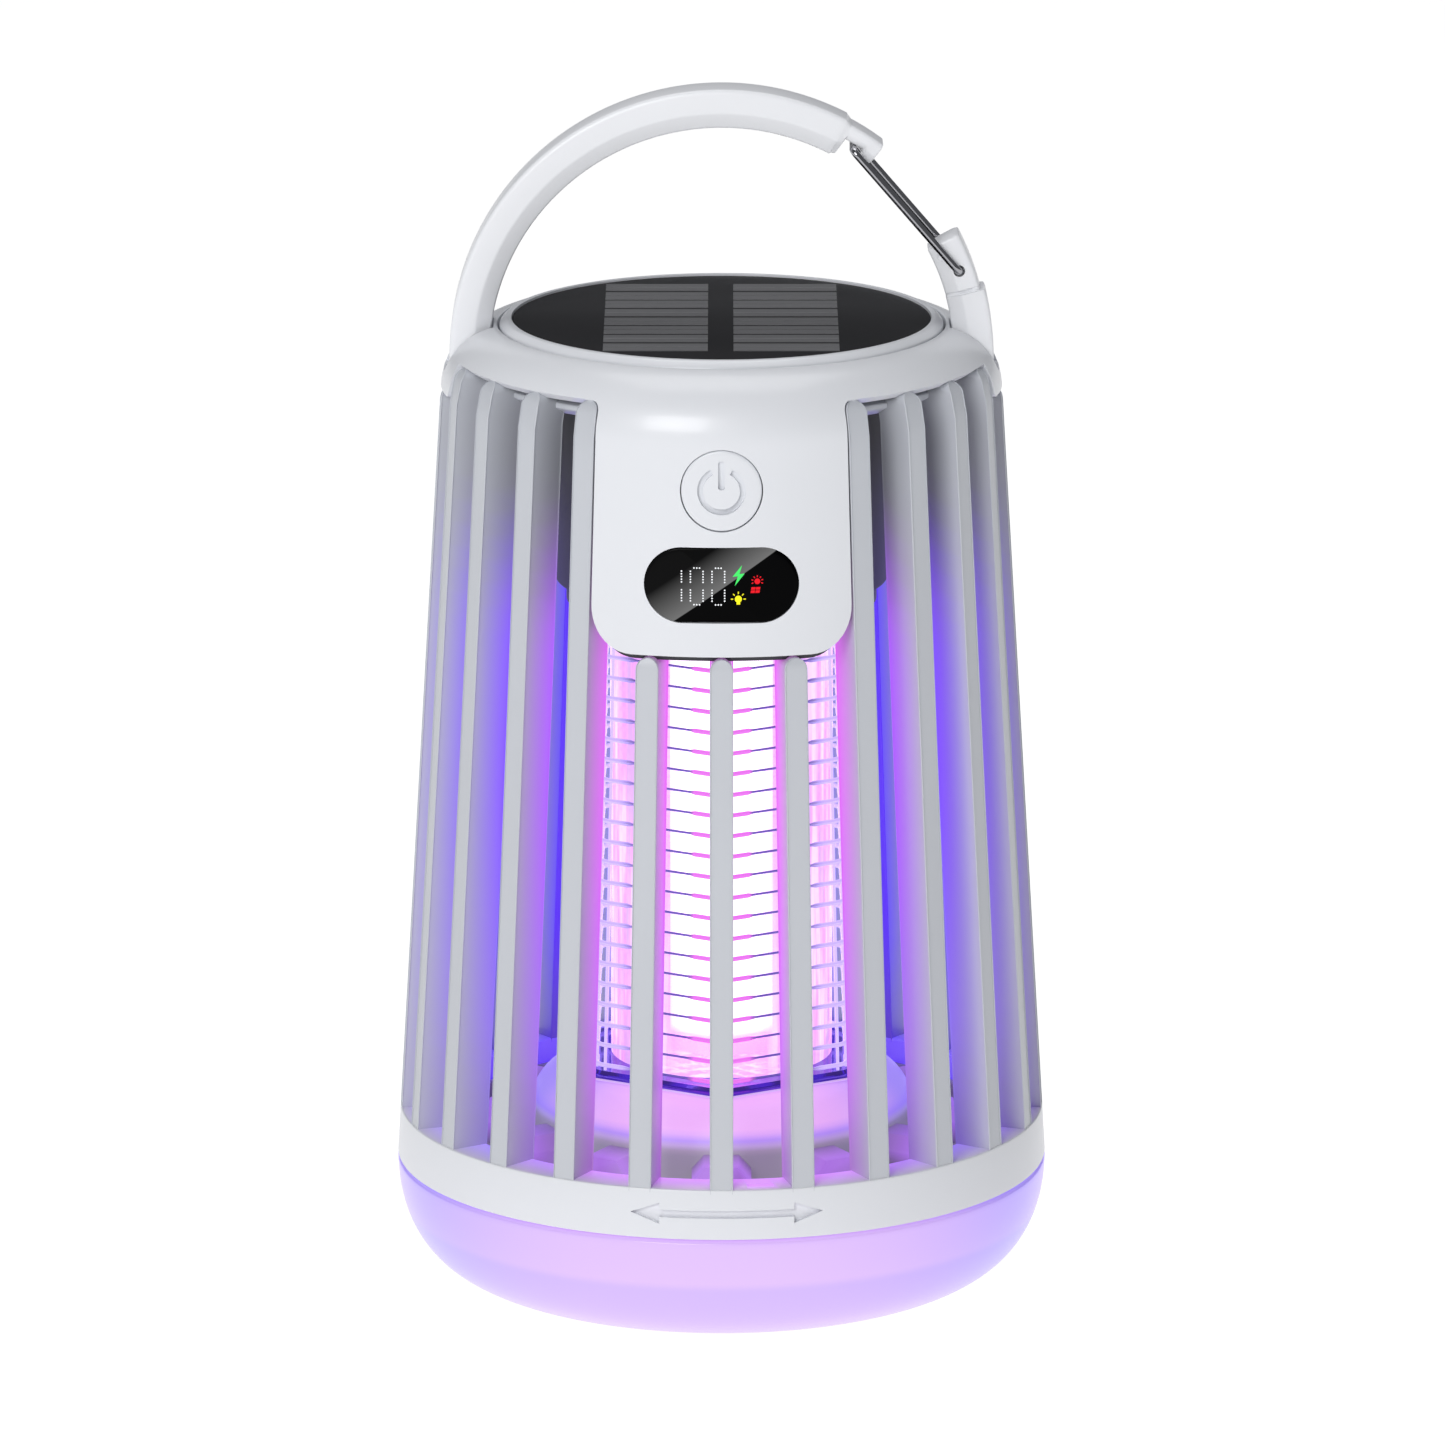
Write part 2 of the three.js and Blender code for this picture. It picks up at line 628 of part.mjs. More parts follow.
function trayLug(turn) {
  const [foot, crest, top] = [5.8, 3.6, 33];
  const points = [
    [foot, 37, TRAY_FLOOR - 0.5],
    [foot, 47, TRAY_FLOOR - 0.5],
    [crest, 37, top],
    [crest, 43, top],
  ].flatMap(([x, r, z]) => [new THREE.Vector3(-x, -r, z), new THREE.Vector3(x, -r, z)]);
  return solidOf(new ConvexGeometry(points).rotateZ(radians(turn)));
}

function lightBoard() {
  const [bottom, top] = [15, 16.6];
  let board = turned([[18, bottom], [50, bottom], [50, top], [18, top]], 36);
  for (let i = 0; i < 12; i += 1) {
    const angle = radians(15 + 30 * i);
    const [x, y] = [38 * Math.cos(angle), 38 * Math.sin(angle)];
    board = board.add(box(x - 1.75, x + 1.75, y - 1.75, y + 1.75, bottom - 1.2, bottom + 0.5));
  }
  return board;
}

// ---- handle ----
// Point at a radius and angle about the handle's centre, angle 0 towards +X and 90 at the top.
function handlePoint(radius, angle) {
  return [radius * Math.cos(radians(angle)), HANDLE_Z + radius * Math.sin(radians(angle))];
}

function handleArch() {
  const shape = new THREE.Shape();
  const leg = 180 - LEG_ANGLE;
  shape.moveTo(...handlePoint(HANDLE_OUTER, leg));
  shape.absarc(0, HANDLE_Z, HANDLE_OUTER, radians(leg), radians(NOSE_ANGLE), true);
  shape.absarc(0, HANDLE_Z, LIP_R, radians(NOSE_ANGLE), radians(LIP_ANGLE), false);
  shape.absarc(0, HANDLE_Z, NOTCH_R, radians(LIP_ANGLE), radians(NOTCH_ANGLE), false);
  shape.absarc(0, HANDLE_Z, HANDLE_INNER, radians(NOTCH_ANGLE), radians(leg), false);
  return plateXZ(shape, -HANDLE_WIDTH / 2, HANDLE_WIDTH / 2, 20);
}

function handleStub() {
  const shape = new THREE.Shape();
  shape.moveTo(...handlePoint(HANDLE_INNER, LEG_ANGLE));
  shape.absarc(0, HANDLE_Z, HANDLE_OUTER, radians(LEG_ANGLE), radians(STUB_STEP_ANGLE), false);
  shape.absarc(0, HANDLE_Z, STUB_TOP_R, radians(STUB_STEP_ANGLE), radians(STUB_TOP_ANGLE), false);
  shape.absarc(0, HANDLE_Z, HANDLE_INNER, radians(STUB_TOP_ANGLE), radians(LEG_ANGLE), true);
  const half = HANDLE_WIDTH / 2;
  const [x, z] = GATE_PIVOT;
  const pocket = 2.6;
  return plateXZ(shape, -half, half, 8)
    .subtract(plateXZ(circleXZ(GATE_HOLE_R, z, x), -half - 1, -half + pocket, 6))
    .subtract(plateXZ(circleXZ(GATE_HOLE_R, z, x), half - pocket, half + 1, 6));
}

// Wire loop: in from the pivot hole on one side, up to the cross bar at the nose and back on the other side.
function gateWire() {
  const [px, pz] = GATE_PIVOT;
  const [tx, tz] = GATE_TIP;
  const inner = GATE_HALF_WIDTH - 3.2;
  const corners = [
    [px, inner, pz],
    [px, GATE_HALF_WIDTH, pz],
    [tx, GATE_HALF_WIDTH, tz],
    [tx, -GATE_HALF_WIDTH, tz],
    [px, -GATE_HALF_WIDTH, pz],
    [px, -inner, pz],
  ].map((p) => new THREE.Vector3(...p));
  const path = new THREE.CurvePath();
  const bend = 1.4;
  let from = corners[0];
  for (let i = 1; i < corners.length - 1; i += 1) {
    const corner = corners[i];
    const before = corner.clone().lerp(corners[i - 1], bend / corner.distanceTo(corners[i - 1]));
    const after = corner.clone().lerp(corners[i + 1], bend / corner.distanceTo(corners[i + 1]));
    path.add(new THREE.LineCurve3(from, before));
    path.add(new THREE.QuadraticBezierCurve3(before, corner, after));
    from = after;
  }
  path.add(new THREE.LineCurve3(from, corners.at(-1)));
  const section = new THREE.Shape();
  section.absarc(0, 0, GATE_WIRE_R, 0, Math.PI * 2);
  const options = { steps: 46, curveSegments: 4, bevelEnabled: false, extrudePath: path };
  return solidOf(new THREE.ExtrudeGeometry(section, options));
}

// ---- assembly ----
add('cage_band', cageBand(), WHITE);
for (let i = 0; i < FIN_COUNT; i += 1) add(`fin_${String(i).padStart(2, '0')}`, fin(i), FIN_GREY);
add('cage_top_ring', cageTopRing(), FIN_GREY);

add('top_cap', topCap(), WHITE);
add('solar_bezel', solarBezel(), WHITE);
add('solar_panel', solarPanel(), BLACK_GLASS);
add('power_button', powerButton(), WHITE);
add('display_window', displayWindow(), BLACK_GLASS);
add('port_cover', portCover(), RUBBER);

const screwPlaces = [[-27.2, 5], [27.2, 5]];
add('electronics_drum', electronicsDrum(screwPlaces), DARK_GREY);
add('control_box', apronBox(CONTROL_BOX, -1), DARK_GREY);
add('port_box', apronBox(PORT_BOX, 1), DARK_GREY);
add('button_switch', buttonSwitch(), FERRITE);
add('display_board', displayBoard(), BOARD_GREEN);
add('main_board', mainBoard(), BOARD_GREEN);
add('hv_transformer', hvTransformer(), FERRITE);
add('battery_cell', batteryCell(), CELL_BLUE);
add('charge_port', chargePort(), STEEL);

add('grid_top_plate', gridTopPlate(screwPlaces), DARK_GREY);
screwPlaces.forEach((place, i) => add(`plate_screw_${i}`, plateScrew(place), STEEL));
for (let i = 0; i < 6; i += 1) add(`grid_face_${i}`, gridFace(i), GRID_METAL);
add('grid_base_plate', gridBasePlate(), GRID_METAL);
add('lamp_sleeve', lampSleeve(), CLEAR);
add('uv_lamp', uvLamp(), WHITE);

add('base_lens', baseLens(), LENS_LILAC);
add('base_tray', baseTray(), FIN_GREY);
add('light_board', lightBoard(), BOARD_GREEN);

add('handle_arch', handleArch(), WHITE);
add('handle_stub', handleStub(), WHITE);
add('gate_wire', gateWire(), STEEL);

export default object;
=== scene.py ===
import math

import bmesh
import bpy
import numpy as np
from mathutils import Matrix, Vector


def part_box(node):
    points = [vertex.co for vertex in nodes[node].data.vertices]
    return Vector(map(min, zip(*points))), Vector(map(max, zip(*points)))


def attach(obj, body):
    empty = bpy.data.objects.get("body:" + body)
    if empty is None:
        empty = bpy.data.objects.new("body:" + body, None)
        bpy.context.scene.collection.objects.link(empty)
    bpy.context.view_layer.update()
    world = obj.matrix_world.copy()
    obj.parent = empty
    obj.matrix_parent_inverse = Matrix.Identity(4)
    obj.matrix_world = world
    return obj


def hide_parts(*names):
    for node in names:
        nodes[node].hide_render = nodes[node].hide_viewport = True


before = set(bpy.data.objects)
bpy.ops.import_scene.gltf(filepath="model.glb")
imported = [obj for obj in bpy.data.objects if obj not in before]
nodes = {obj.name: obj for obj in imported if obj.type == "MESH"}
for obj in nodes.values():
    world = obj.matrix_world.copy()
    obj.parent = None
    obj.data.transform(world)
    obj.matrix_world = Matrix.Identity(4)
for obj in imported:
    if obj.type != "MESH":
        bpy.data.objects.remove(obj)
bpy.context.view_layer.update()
MM = 0.001


# ---- Cage band ----
# The foot of the cage: one ring of white ABS that the fins grow out of. A double arrow is engraved in its
# front, showing which way the base twists off, and a small catch slot is cut in its sill.
band_low, band_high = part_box("cage_band")
SEAM = band_low.z
SILL = band_high.z
SEAM_R = band_high.x
TAPER = 0.0612


def cone_r(z):
    """Outer radius of cage and head: the radius at the seam, less the taper times the height above it."""
    return SEAM_R - TAPER * (z - SEAM)


def smoothstep(low, high, x):
    """0 below low, 1 above high, and 3t^2 - 2t^3 of the fraction between them."""
    t = np.clip((x - low) / (high - low), 0, 1)
    return t * t * (3 - 2 * t)


def net(points, wrap_rows=False, wrap_columns=False):
    """Quads over a rows x columns grid of points, joined round the ends where it wraps."""
    index = np.arange(points.shape[0] * points.shape[1]).reshape(points.shape[:2])
    if wrap_rows:
        index = np.vstack([index, index[:1]])
    if wrap_columns:
        index = np.hstack([index, index[:, :1]])
    corners = [index[:-1, :-1], index[1:, :-1], index[1:, 1:], index[:-1, 1:]]
    return points.reshape(-1, 3), np.stack(corners, -1).reshape(-1, 4)


def build(name, points, quads, caps=(), smooth_angle=35, weld=1e-6, outward=True):
    """Mesh object from points in metres and quads, with n-gon caps, welded and turned outwards."""
    mesh = bpy.data.meshes.new(name)
    faces = np.asarray(quads).tolist() + [list(c) for c in caps]
    mesh.from_pydata(np.asarray(points, float).tolist(), [], faces)
    piece = bpy.data.objects.new(name, mesh)
    bpy.context.scene.collection.objects.link(piece)
    tidy(piece, weld, outward)
    shade(piece, smooth_angle)
    return piece


def tidy(piece, weld=1e-6, outward=True):
    """Doubles merged, degenerate faces dissolved and normals turned outwards."""
    shell = bmesh.new()
    shell.from_mesh(piece.data)
    bmesh.ops.remove_doubles(shell, verts=shell.verts, dist=weld)
    bmesh.ops.dissolve_degenerate(shell, dist=weld, edges=shell.edges)
    if outward:
        bmesh.ops.recalc_face_normals(shell, faces=shell.faces)
    shell.to_mesh(piece.data)
    shell.free()


def shade(piece, angle=35):
    """Smooth shading with edges sharper than the angle left crisp."""
    piece.data.polygons.foreach_set("use_smooth", np.ones(len(piece.data.polygons), bool))
    piece.data.set_sharp_from_angle(angle=math.radians(angle))
    piece.data.update()


def turned(profile, segments=192):
    """Surface of revolution: each (radius, height) of a closed profile swept round Z."""
    profile = np.asarray(profile, float)
    turn = np.linspace(0, 2 * np.pi, segments, endpoint=False)[None, :]
    r, z = profile[:, :1], profile[:, 1:]
    grid = np.stack([r * np.sin(turn), -r * np.cos(turn), z + 0 * turn], -1)
    return net(grid, wrap_rows=True, wrap_columns=True)


def rounded(points, radii, steps=5):
    """Closed polygon with each corner replaced by a quadratic curve that starts radius away from it."""
    points = np.asarray(points, float)
    before = np.roll(points, 1, 0) - points
    after = np.roll(points, -1, 0) - points
    radii = np.broadcast_to(np.asarray(radii, float), len(points))[:, None]
    start = points + before * np.minimum(radii / np.linalg.norm(before, axis=1, keepdims=True), 0.48)
    end = points + after * np.minimum(radii / np.linalg.norm(after, axis=1, keepdims=True), 0.48)
    t = np.linspace(0, 1, steps)[None, :, None]
    curve = (1 - t) ** 2 * start[:, None] + 2 * t * (1 - t) * points[:, None] + t ** 2 * end[:, None]
    return curve.reshape(-1, 2)


def prism(outline, y0, y1):
    """Closed outline in the XZ plane carried along Y from y0 to y1, with both ends capped."""
    outline = np.asarray(outline, float)
    rows = [np.column_stack([outline[:, 0], np.full(len(outline), y), outline[:, 1]]) for y in (y0, y1)]
    points, quads = net(np.stack(rows), wrap_columns=True)
    n = len(outline)
    return points, quads, [range(n), range(n, 2 * n)]


def carve(piece, cutters, smooth_angle=35, folded=False):
    """Each cutter in turn subtracted from the piece by an exact boolean, then thrown away."""
    for cutter in cutters:
        step = piece.modifiers.new("cut", "BOOLEAN")
        step.object, step.operation, step.solver, step.use_self = cutter, "DIFFERENCE", "EXACT", folded
        seen = bpy.context.evaluated_depsgraph_get()
        mesh = bpy.data.meshes.new_from_object(piece.evaluated_get(seen))
        piece.modifiers.clear()
        piece.data = mesh
        bpy.data.objects.remove(cutter)
    shade(piece, smooth_angle)
    return piece


def finish_piece(piece, finish, body, slot, *replaced):
    """Gives a piece its material and its body, and hides the CAD nodes it stands for; slot is not used."""
    piece.data.materials.clear()
    piece.data.materials.append(finish)
    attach(piece, body)
    if replaced:
        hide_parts(*replaced)
    return piece


def moulded_grain():
    """Node group: the faint mottle, sheen variation and spark-eroded grain of moulded plastic."""
    group = bpy.data.node_groups.new("moulded_grain", "ShaderNodeTree")
    side = group.interface
    side.new_socket("Vector", in_out="INPUT", socket_type="NodeSocketVector")
    side.new_socket("Color", in_out="INPUT", socket_type="NodeSocketColor")
    for name, value in (("Grain", 1500.0), ("Mottle", 0.03), ("Roughness", 0.4), ("Spread", 0.08)):
        side.new_socket(name, in_out="INPUT", socket_type="NodeSocketFloat").default_value = value
    side.new_socket("Color", in_out="OUTPUT", socket_type="NodeSocketColor")
    side.new_socket("Roughness", in_out="OUTPUT", socket_type="NodeSocketFloat")
    side.new_socket("Height", in_out="OUTPUT", socket_type="NodeSocketFloat")
    tree, link = group.nodes, group.links.new
    given, made = tree.new("NodeGroupInput"), tree.new("NodeGroupOutput")
    cloud = tree.new("ShaderNodeTexNoise")
    cloud.inputs["Scale"].default_value = 45
    cloud.inputs["Detail"].default_value = 4
    link(given.outputs["Vector"], cloud.inputs["Vector"])
    grain = tree.new("ShaderNodeTexNoise")
    grain.inputs["Detail"].default_value = 3
    link(given.outputs["Vector"], grain.inputs["Vector"])
    link(given.outputs["Grain"], grain.inputs["Scale"])
    centred = tree.new("ShaderNodeMath")
    centred.operation = "SUBTRACT"
    centred.inputs[1].default_value = 0.5
    link(cloud.outputs["Fac"], centred.inputs[0])
    shade_step = tree.new("ShaderNodeMath")
    shade_step.operation = "MULTIPLY_ADD"
    shade_step.inputs[2].default_value = 1.0
    link(centred.outputs[0], shade_step.inputs[0])
    link(given.outputs["Mottle"], shade_step.inputs[1])
    glow_and_mottle_tint = tree.new("ShaderNodeVectorMath")
    glow_and_mottle_tint.operation = "SCALE"
    link(given.outputs["Color"], glow_and_mottle_tint.inputs[0])
    link(shade_step.outputs[0], glow_and_mottle_tint.inputs["Scale"])
    link(glow_and_mottle_tint.outputs[0], made.inputs["Color"])
    rough = tree.new("ShaderNodeMath")
    rough.operation = "MULTIPLY_ADD"
    link(centred.outputs[0], rough.inputs[0])
    link(given.outputs["Spread"], rough.inputs[1])
    link(given.outputs["Roughness"], rough.inputs[2])
    link(rough.outputs[0], made.inputs["Roughness"])
    link(grain.outputs["Fac"], made.inputs["Height"])
    return group


grain_group = moulded_grain()
BUMP_DEPTH = 0.4 * MM
COAT_ROUGH = 0.08


def plastic(name, color, rough=0.4, spread=0.1, grain=1500.0, relief=0.02, mottle=0.04, metallic=0.0,
            coat=0.0, shine=0.5, glow=0.0):
    """Principled material fed by the moulded grain; glow is how strongly it gives out its painted light."""
    material = bpy.data.materials.new(name)
    material.use_nodes = True
    tree, link = material.node_tree.nodes, material.node_tree.links.new
    shader = tree["Principled BSDF"]
    place = tree.new("ShaderNodeTexCoord")
    skin = tree.new("ShaderNodeGroup")
    skin.node_tree = grain_group
    skin.inputs["Color"].default_value = (*color, 1)
    skin.inputs["Grain"].default_value = grain
    skin.inputs["Mottle"].default_value = mottle
    skin.inputs["Roughness"].default_value = rough
    skin.inputs["Spread"].default_value = spread
    link(place.outputs["Object"], skin.inputs["Vector"])
    link(skin.outputs["Color"], shader.inputs["Base Color"])
    link(skin.outputs["Roughness"], shader.inputs["Roughness"])
    bump = tree.new("ShaderNodeBump")
    bump.inputs["Strength"].default_value = relief
    bump.inputs["Distance"].default_value = BUMP_DEPTH
    link(skin.outputs["Height"], bump.inputs["Height"])
    link(bump.outputs["Normal"], shader.inputs["Normal"])
    shader.inputs["Metallic"].default_value = metallic
    shader.inputs["Coat Weight"].default_value = coat
    shader.inputs["Specular IOR Level"].default_value = shine
    shader.inputs["Coat Roughness"].default_value = COAT_ROUGH
    if glow:
        light = tree.new("ShaderNodeAttribute")
        light.attribute_name = "lamp_light"
        link(light.outputs["Color"], shader.inputs["Emission Color"])
        # Painted shade: the plastic's colour scaled by the alpha that paint() stores.
        share = tree.new("ShaderNodeVectorMath")
        share.operation = "SCALE"
        link(skin.outputs["Color"], share.inputs[0])
        link(light.outputs["Alpha"], share.inputs["Scale"])
        link(share.outputs[0], shader.inputs["Base Color"])
        shader.inputs["Emission Strength"].default_value = glow
    return material


def paint(piece, colours, kept_after_painted_shade=1.0):
    """Stores each vertex's painted light (the lamp's light painted on) as a linear colour, and in alpha the
    share of the plastic's colour that the painted shade leaves.
    """
    data = piece.data.attributes.new("lamp_light", "FLOAT_COLOR", "POINT")
    rgba = np.ones((len(piece.data.vertices), 4), np.float32)
    rgba[:, :3] = colours
    rgba[:, 3] = kept_after_painted_shade
    data.data.foreach_set("color", rgba.ravel())


def places(piece):
    """Vertex coordinates of a piece as an array."""
    co = np.empty(len(piece.data.vertices) * 3)
    piece.data.vertices.foreach_get("co", co)
    return co.reshape(-1, 3)


BAND_INNER = 55.5 * MM
BAND_EDGE = 0.35 * MM
DEEP_BLUE = np.array([0.07, 0.01, 0.86])
VIOLET = np.array([0.19, 0.07, 1.0])
LILAC = np.array([0.26, 0.18, 0.72])
PINK = np.array([0.74, 0.12, 0.82])


def blend_hue(first, second, share):
    """Row-wise mix of two colours."""
    return first * (1 - share[:, None]) + second * share[:, None]


def lamp_hue(x, y, z):
    """Colour of the painted lamp light: deep blue at the back, violet at the sides and pink at the front,
    paler towards the foot.
    """
    front = -y / np.maximum(np.hypot(x, y), 1e-6)
    hue = blend_hue(DEEP_BLUE, VIOLET, smoothstep(-0.35, 0.25, front))
    pale = smoothstep(115 * MM, 45 * MM, z) * smoothstep(-0.2, 0.3, front)
    hue = blend_hue(hue, LILAC, pale * 0.8)
    return blend_hue(hue, PINK, smoothstep(0.62, 0.96, front) * (1 - 0.45 * pale))


ARROW_MIDDLE = np.array([1.0, 29.6]) * MM
ARROW_HALF = 18.5 * MM
ARROW_HEAD = 5.5 * MM
ARROW_HEAD_HALF = 2.05 * MM
ARROW_SHAFT_HALF = 0.75 * MM
ARROW_DEPTH = 0.9 * MM
CATCH_X = (5 * MM, 10 * MM)
CATCH_Y = (-60.4 * MM, -58.9 * MM)
CATCH_DEPTH = 1.5 * MM


def arrow_outline():
    """Shaft with a triangular head at each end; the left end is the right one turned by half a turn."""
    neck_x = ARROW_HALF - ARROW_HEAD
    right = np.array([(neck_x, -ARROW_SHAFT_HALF), (neck_x, -ARROW_HEAD_HALF), (ARROW_HALF, 0),
                      (neck_x, ARROW_HEAD_HALF), (neck_x, ARROW_SHAFT_HALF)])
    return np.vstack([right, -right]) + ARROW_MIDDLE


def cage_band():
    """The ring, with rounded edges, less the engraved arrow and the catch slot."""
    section = [(BAND_INNER, SEAM), (cone_r(SEAM), SEAM), (cone_r(SILL), SILL), (BAND_INNER, SILL)]
    ring = build("cage_band_ring", *turned(rounded(section, BAND_EDGE), 240))
    arrow = build("arrow_cutter", *prism(arrow_outline(), -70 * MM, -40 * MM))
    floor_foot, floor_top = cone_r(SEAM) - ARROW_DEPTH, cone_r(SILL) - ARROW_DEPTH
    inside = build("arrow_floor", *turned([(10 * MM, SEAM - MM), (floor_foot, SEAM - MM),
                                           (floor_top, SILL + MM), (10 * MM, SILL + MM)], 240))
    carve(arrow, [inside])
    slot = [(x, z) for x, z in zip(CATCH_X + CATCH_X[::-1], [SILL - CATCH_DEPTH] * 2 + [40 * MM] * 2)]
    catch = build("catch_cutter", *prism(slot, *CATCH_Y))
    return carve(ring, [arrow, catch])


band = cage_band()
xyz = places(band)
# Painted lamp light on the inner part of the sill, coloured by lamp_hue, and painted shade that darkens the
# plastic there.
inward = smoothstep(cone_r(SILL) - 0.4 * MM, cone_r(SILL) - 3 * MM, np.hypot(xyz[:, 0], xyz[:, 1]))
paint(band, lamp_hue(*xyz.T) * inward[:, None] * 0.8, 1 - 0.45 * inward)
white_abs = plastic("white_abs", (0.76, 0.775, 0.81), 0.34, 0.1, 1400, 0.015, 0.03, coat=0.15, glow=1.0)
finish_piece(band, white_abs, "housing", "shell_white", "cage_band")


# ---- Cage fins ----
# Vertical blades of the cage, moulded in one with the band. Each has a flat outer face in line with the
# band, a rounded top and eight millimetres of depth; the lamp's light on their sides is painted in, with
# painted shade deeper between them.
FIN_COUNT = 25
FIN_HALF = 2.25 * MM
FIN_DEPTH = 8 * MM
SHOULDER = 13 * MM
SHOULDER_Z = 178.5 * MM
SLOPE = math.atan(TAPER)
TANGENT_Z = SHOULDER_Z + SHOULDER * math.sin(SLOPE)
SHOULDER_X = cone_r(TANGENT_Z) - SHOULDER * math.cos(SLOPE)
RIM_R = 52.3 * MM
FIN_EDGE = 0.2 * MM
TALL_FIN_Z = 180 * MM
LIT_FROM, LIT_FULL = 168 * MM, 130 * MM
RIM_Z = SHOULDER_Z + math.sqrt(SHOULDER ** 2 - (RIM_R - SHOULDER_X) ** 2)


def skin_r(z):
    """Radius of the outer skin: the cone, and above its tangent point the shoulder's arc."""
    rise = np.clip(z - SHOULDER_Z, 0, SHOULDER * 0.999)
    return np.where(z < TANGENT_Z, cone_r(z), SHOULDER_X + np.sqrt(SHOULDER ** 2 - rise ** 2))


def fin_grid(top, inset=0.0):
    """Rounded rectangle at each level, its width closing in a half circle over the last stretch."""
    straight = np.linspace(SILL - 0.8 * MM, top - FIN_HALF, 34)
    cap = top - FIN_HALF + FIN_HALF * np.sin(np.linspace(0, np.pi / 2, 10))[1:]
    z = np.concatenate([straight, cap])
    over = np.clip((z - (top - FIN_HALF)) / FIN_HALF, 0, 1)
    half = FIN_HALF * np.sqrt(np.clip(1 - over ** 2, 0, 1))
    outer = skin_r(z) - inset - 0.5 * MM * over ** 2
    inner = skin_r(z) - FIN_DEPTH
    corner = np.minimum(FIN_EDGE, half)
    arc = np.linspace(0, np.pi / 2, 5)
    across, deep = [], []
    for hand, side in ((1, 1), (-1, 1), (-1, -1), (1, -1)):
        bend = arc if hand == side else arc[::-1]
        across.append(hand * (half[:, None] - corner[:, None] * (1 - np.sin(bend))))
        edge = outer if side == 1 else inner
        deep.append(edge[:, None] - side * corner[:, None] * (1 - np.cos(bend)))
    x = np.concatenate(across, 1)
    r = np.concatenate(deep, 1)
    return x, r, np.repeat(z[:, None], x.shape[1], 1)


def cage_fin(index):
    """One blade turned to its place, closed at its foot."""
    low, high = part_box(f"fin_{index:02d}")
    tall = high.z > TALL_FIN_Z
    top = RIM_Z - 0.2 * MM if tall else high.z
    x, r, z = fin_grid(top, 0.1 * MM if tall else 0.02 * MM)
    turn = 2 * np.pi * index / FIN_COUNT
    world_x = r * np.sin(turn) + x * np.cos(turn)
    world_y = -r * np.cos(turn) + x * np.sin(turn)
    points, quads = net(np.stack([world_x, world_y, z], -1), wrap_columns=True)
    n = x.shape[1]
    piece = build(f"cage_fin_{index:02d}", points, quads, [range(n)], 50)
    xyz = places(piece)
    # Painted lamp light on the side and inner faces, fading out above LIT_FROM and dimmer at the foot, and
    # painted shade: the plastic's colour darkened deeper in and where the painted light is strong.
    depth = (skin_r(xyz[:, 2]) - np.hypot(xyz[:, 0], xyz[:, 1])) / FIN_DEPTH
    level = smoothstep(LIT_FROM, LIT_FULL, xyz[:, 2])
    foot = 0.45 + 0.55 * smoothstep(32 * MM, 62 * MM, xyz[:, 2])
    amount = smoothstep(0.05, 0.4, depth) * (0.75 + 0.25 * depth) * level * foot
    own = 1 - 0.34 * smoothstep(0.04, 0.3, depth) - 0.54 * amount
    paint(piece, lamp_hue(*xyz.T) * amount[:, None], own)
    return piece


fin_abs = plastic("fin_abs", (0.55, 0.57, 0.61), 0.38, 0.1, 1400, 0.02, 0.04, coat=0.1, glow=1.0)
for index in range(FIN_COUNT):
    finish_piece(cage_fin(index), fin_abs, "housing", "fin_grey", f"fin_{index:02d}")


# ---- Cage top ring ----
# Ring that ties the fins' tops together inside the head, seen as a pale chamfered ledge between them.
# A dark wall stands behind it, round the neck of the drum.
ring_low, ring_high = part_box("cage_top_ring")
RING_INNER = 41.5 * MM
LEDGE_R = 48.4 * MM
ring_top = ring_high.z - 0.4 * MM
ledge = [(RING_INNER, ring_low.z), (LEDGE_R - 2.8 * MM, ring_low.z), (LEDGE_R, ring_low.z + 1.6 * MM),
         (LEDGE_R, ring_low.z + 2.6 * MM), (LEDGE_R - 3.9 * MM, ring_top), (RING_INNER, ring_top)]
ring = build("cage_ring_ledge", *turned(rounded(ledge, 0.3 * MM)))
paint(ring, np.zeros(3))
finish_piece(ring, fin_abs, "housing", "fin_grey", "cage_top_ring")
drum_abs = plastic("drum_abs", (0.045, 0.046, 0.05), 0.45, 0.12, 1000, 0.05, 0.12)
NECK_R = 44.8 * MM
NECK_LOW, NECK_HIGH = 182.2 * MM, 187 * MM
neck = [(33 * MM, NECK_LOW), (NECK_R, NECK_LOW), (NECK_R, NECK_HIGH), (NECK_R - MM, NECK_HIGH),
        (NECK_R - MM, NECK_LOW + 1.2 * MM), (33 * MM, NECK_LOW + 1.2 * MM)]
finish_piece(build("neck_wall", *turned(neck)), drum_abs, "housing", "drum_grey")


# ---- Head ----
# One white ABS moulding: the rounded shoulder, the front apron with button and window, the small rear
# apron with the charge port, and a boss at each side that takes a leg of the handle.
APRON_BOTTOM = 138.1 * MM
SKIRTS = (
    {"middle": 0.0, "half": 26.0, "bottom": APRON_BOTTOM, "corner": 9 * MM, "flare": 1.9},
    {"middle": 180.0, "half": 18.2, "bottom": APRON_BOTTOM, "corner": 6 * MM, "flare": 1.5},
    {"middle": 90.0, "half": 14.5, "bottom": 179.2 * MM, "corner": 1.2 * MM, "flare": 0.5},
    {"middle": -90.0, "half": 14.5, "bottom": 179.2 * MM, "corner": 1.2 * MM, "flare": 0.5},
)
SKIRT_R = 57 * MM
CAP_TOP_R = 43.9 * MM
WELL_R = 43.5 * MM
DECK_Z = 187.3 * MM
WALL = 2.2 * MM
rim_angle = math.acos((RIM_R - SHOULDER_X) / SHOULDER)
top_angle = math.acos((CAP_TOP_R - SHOULDER_X) / SHOULDER)


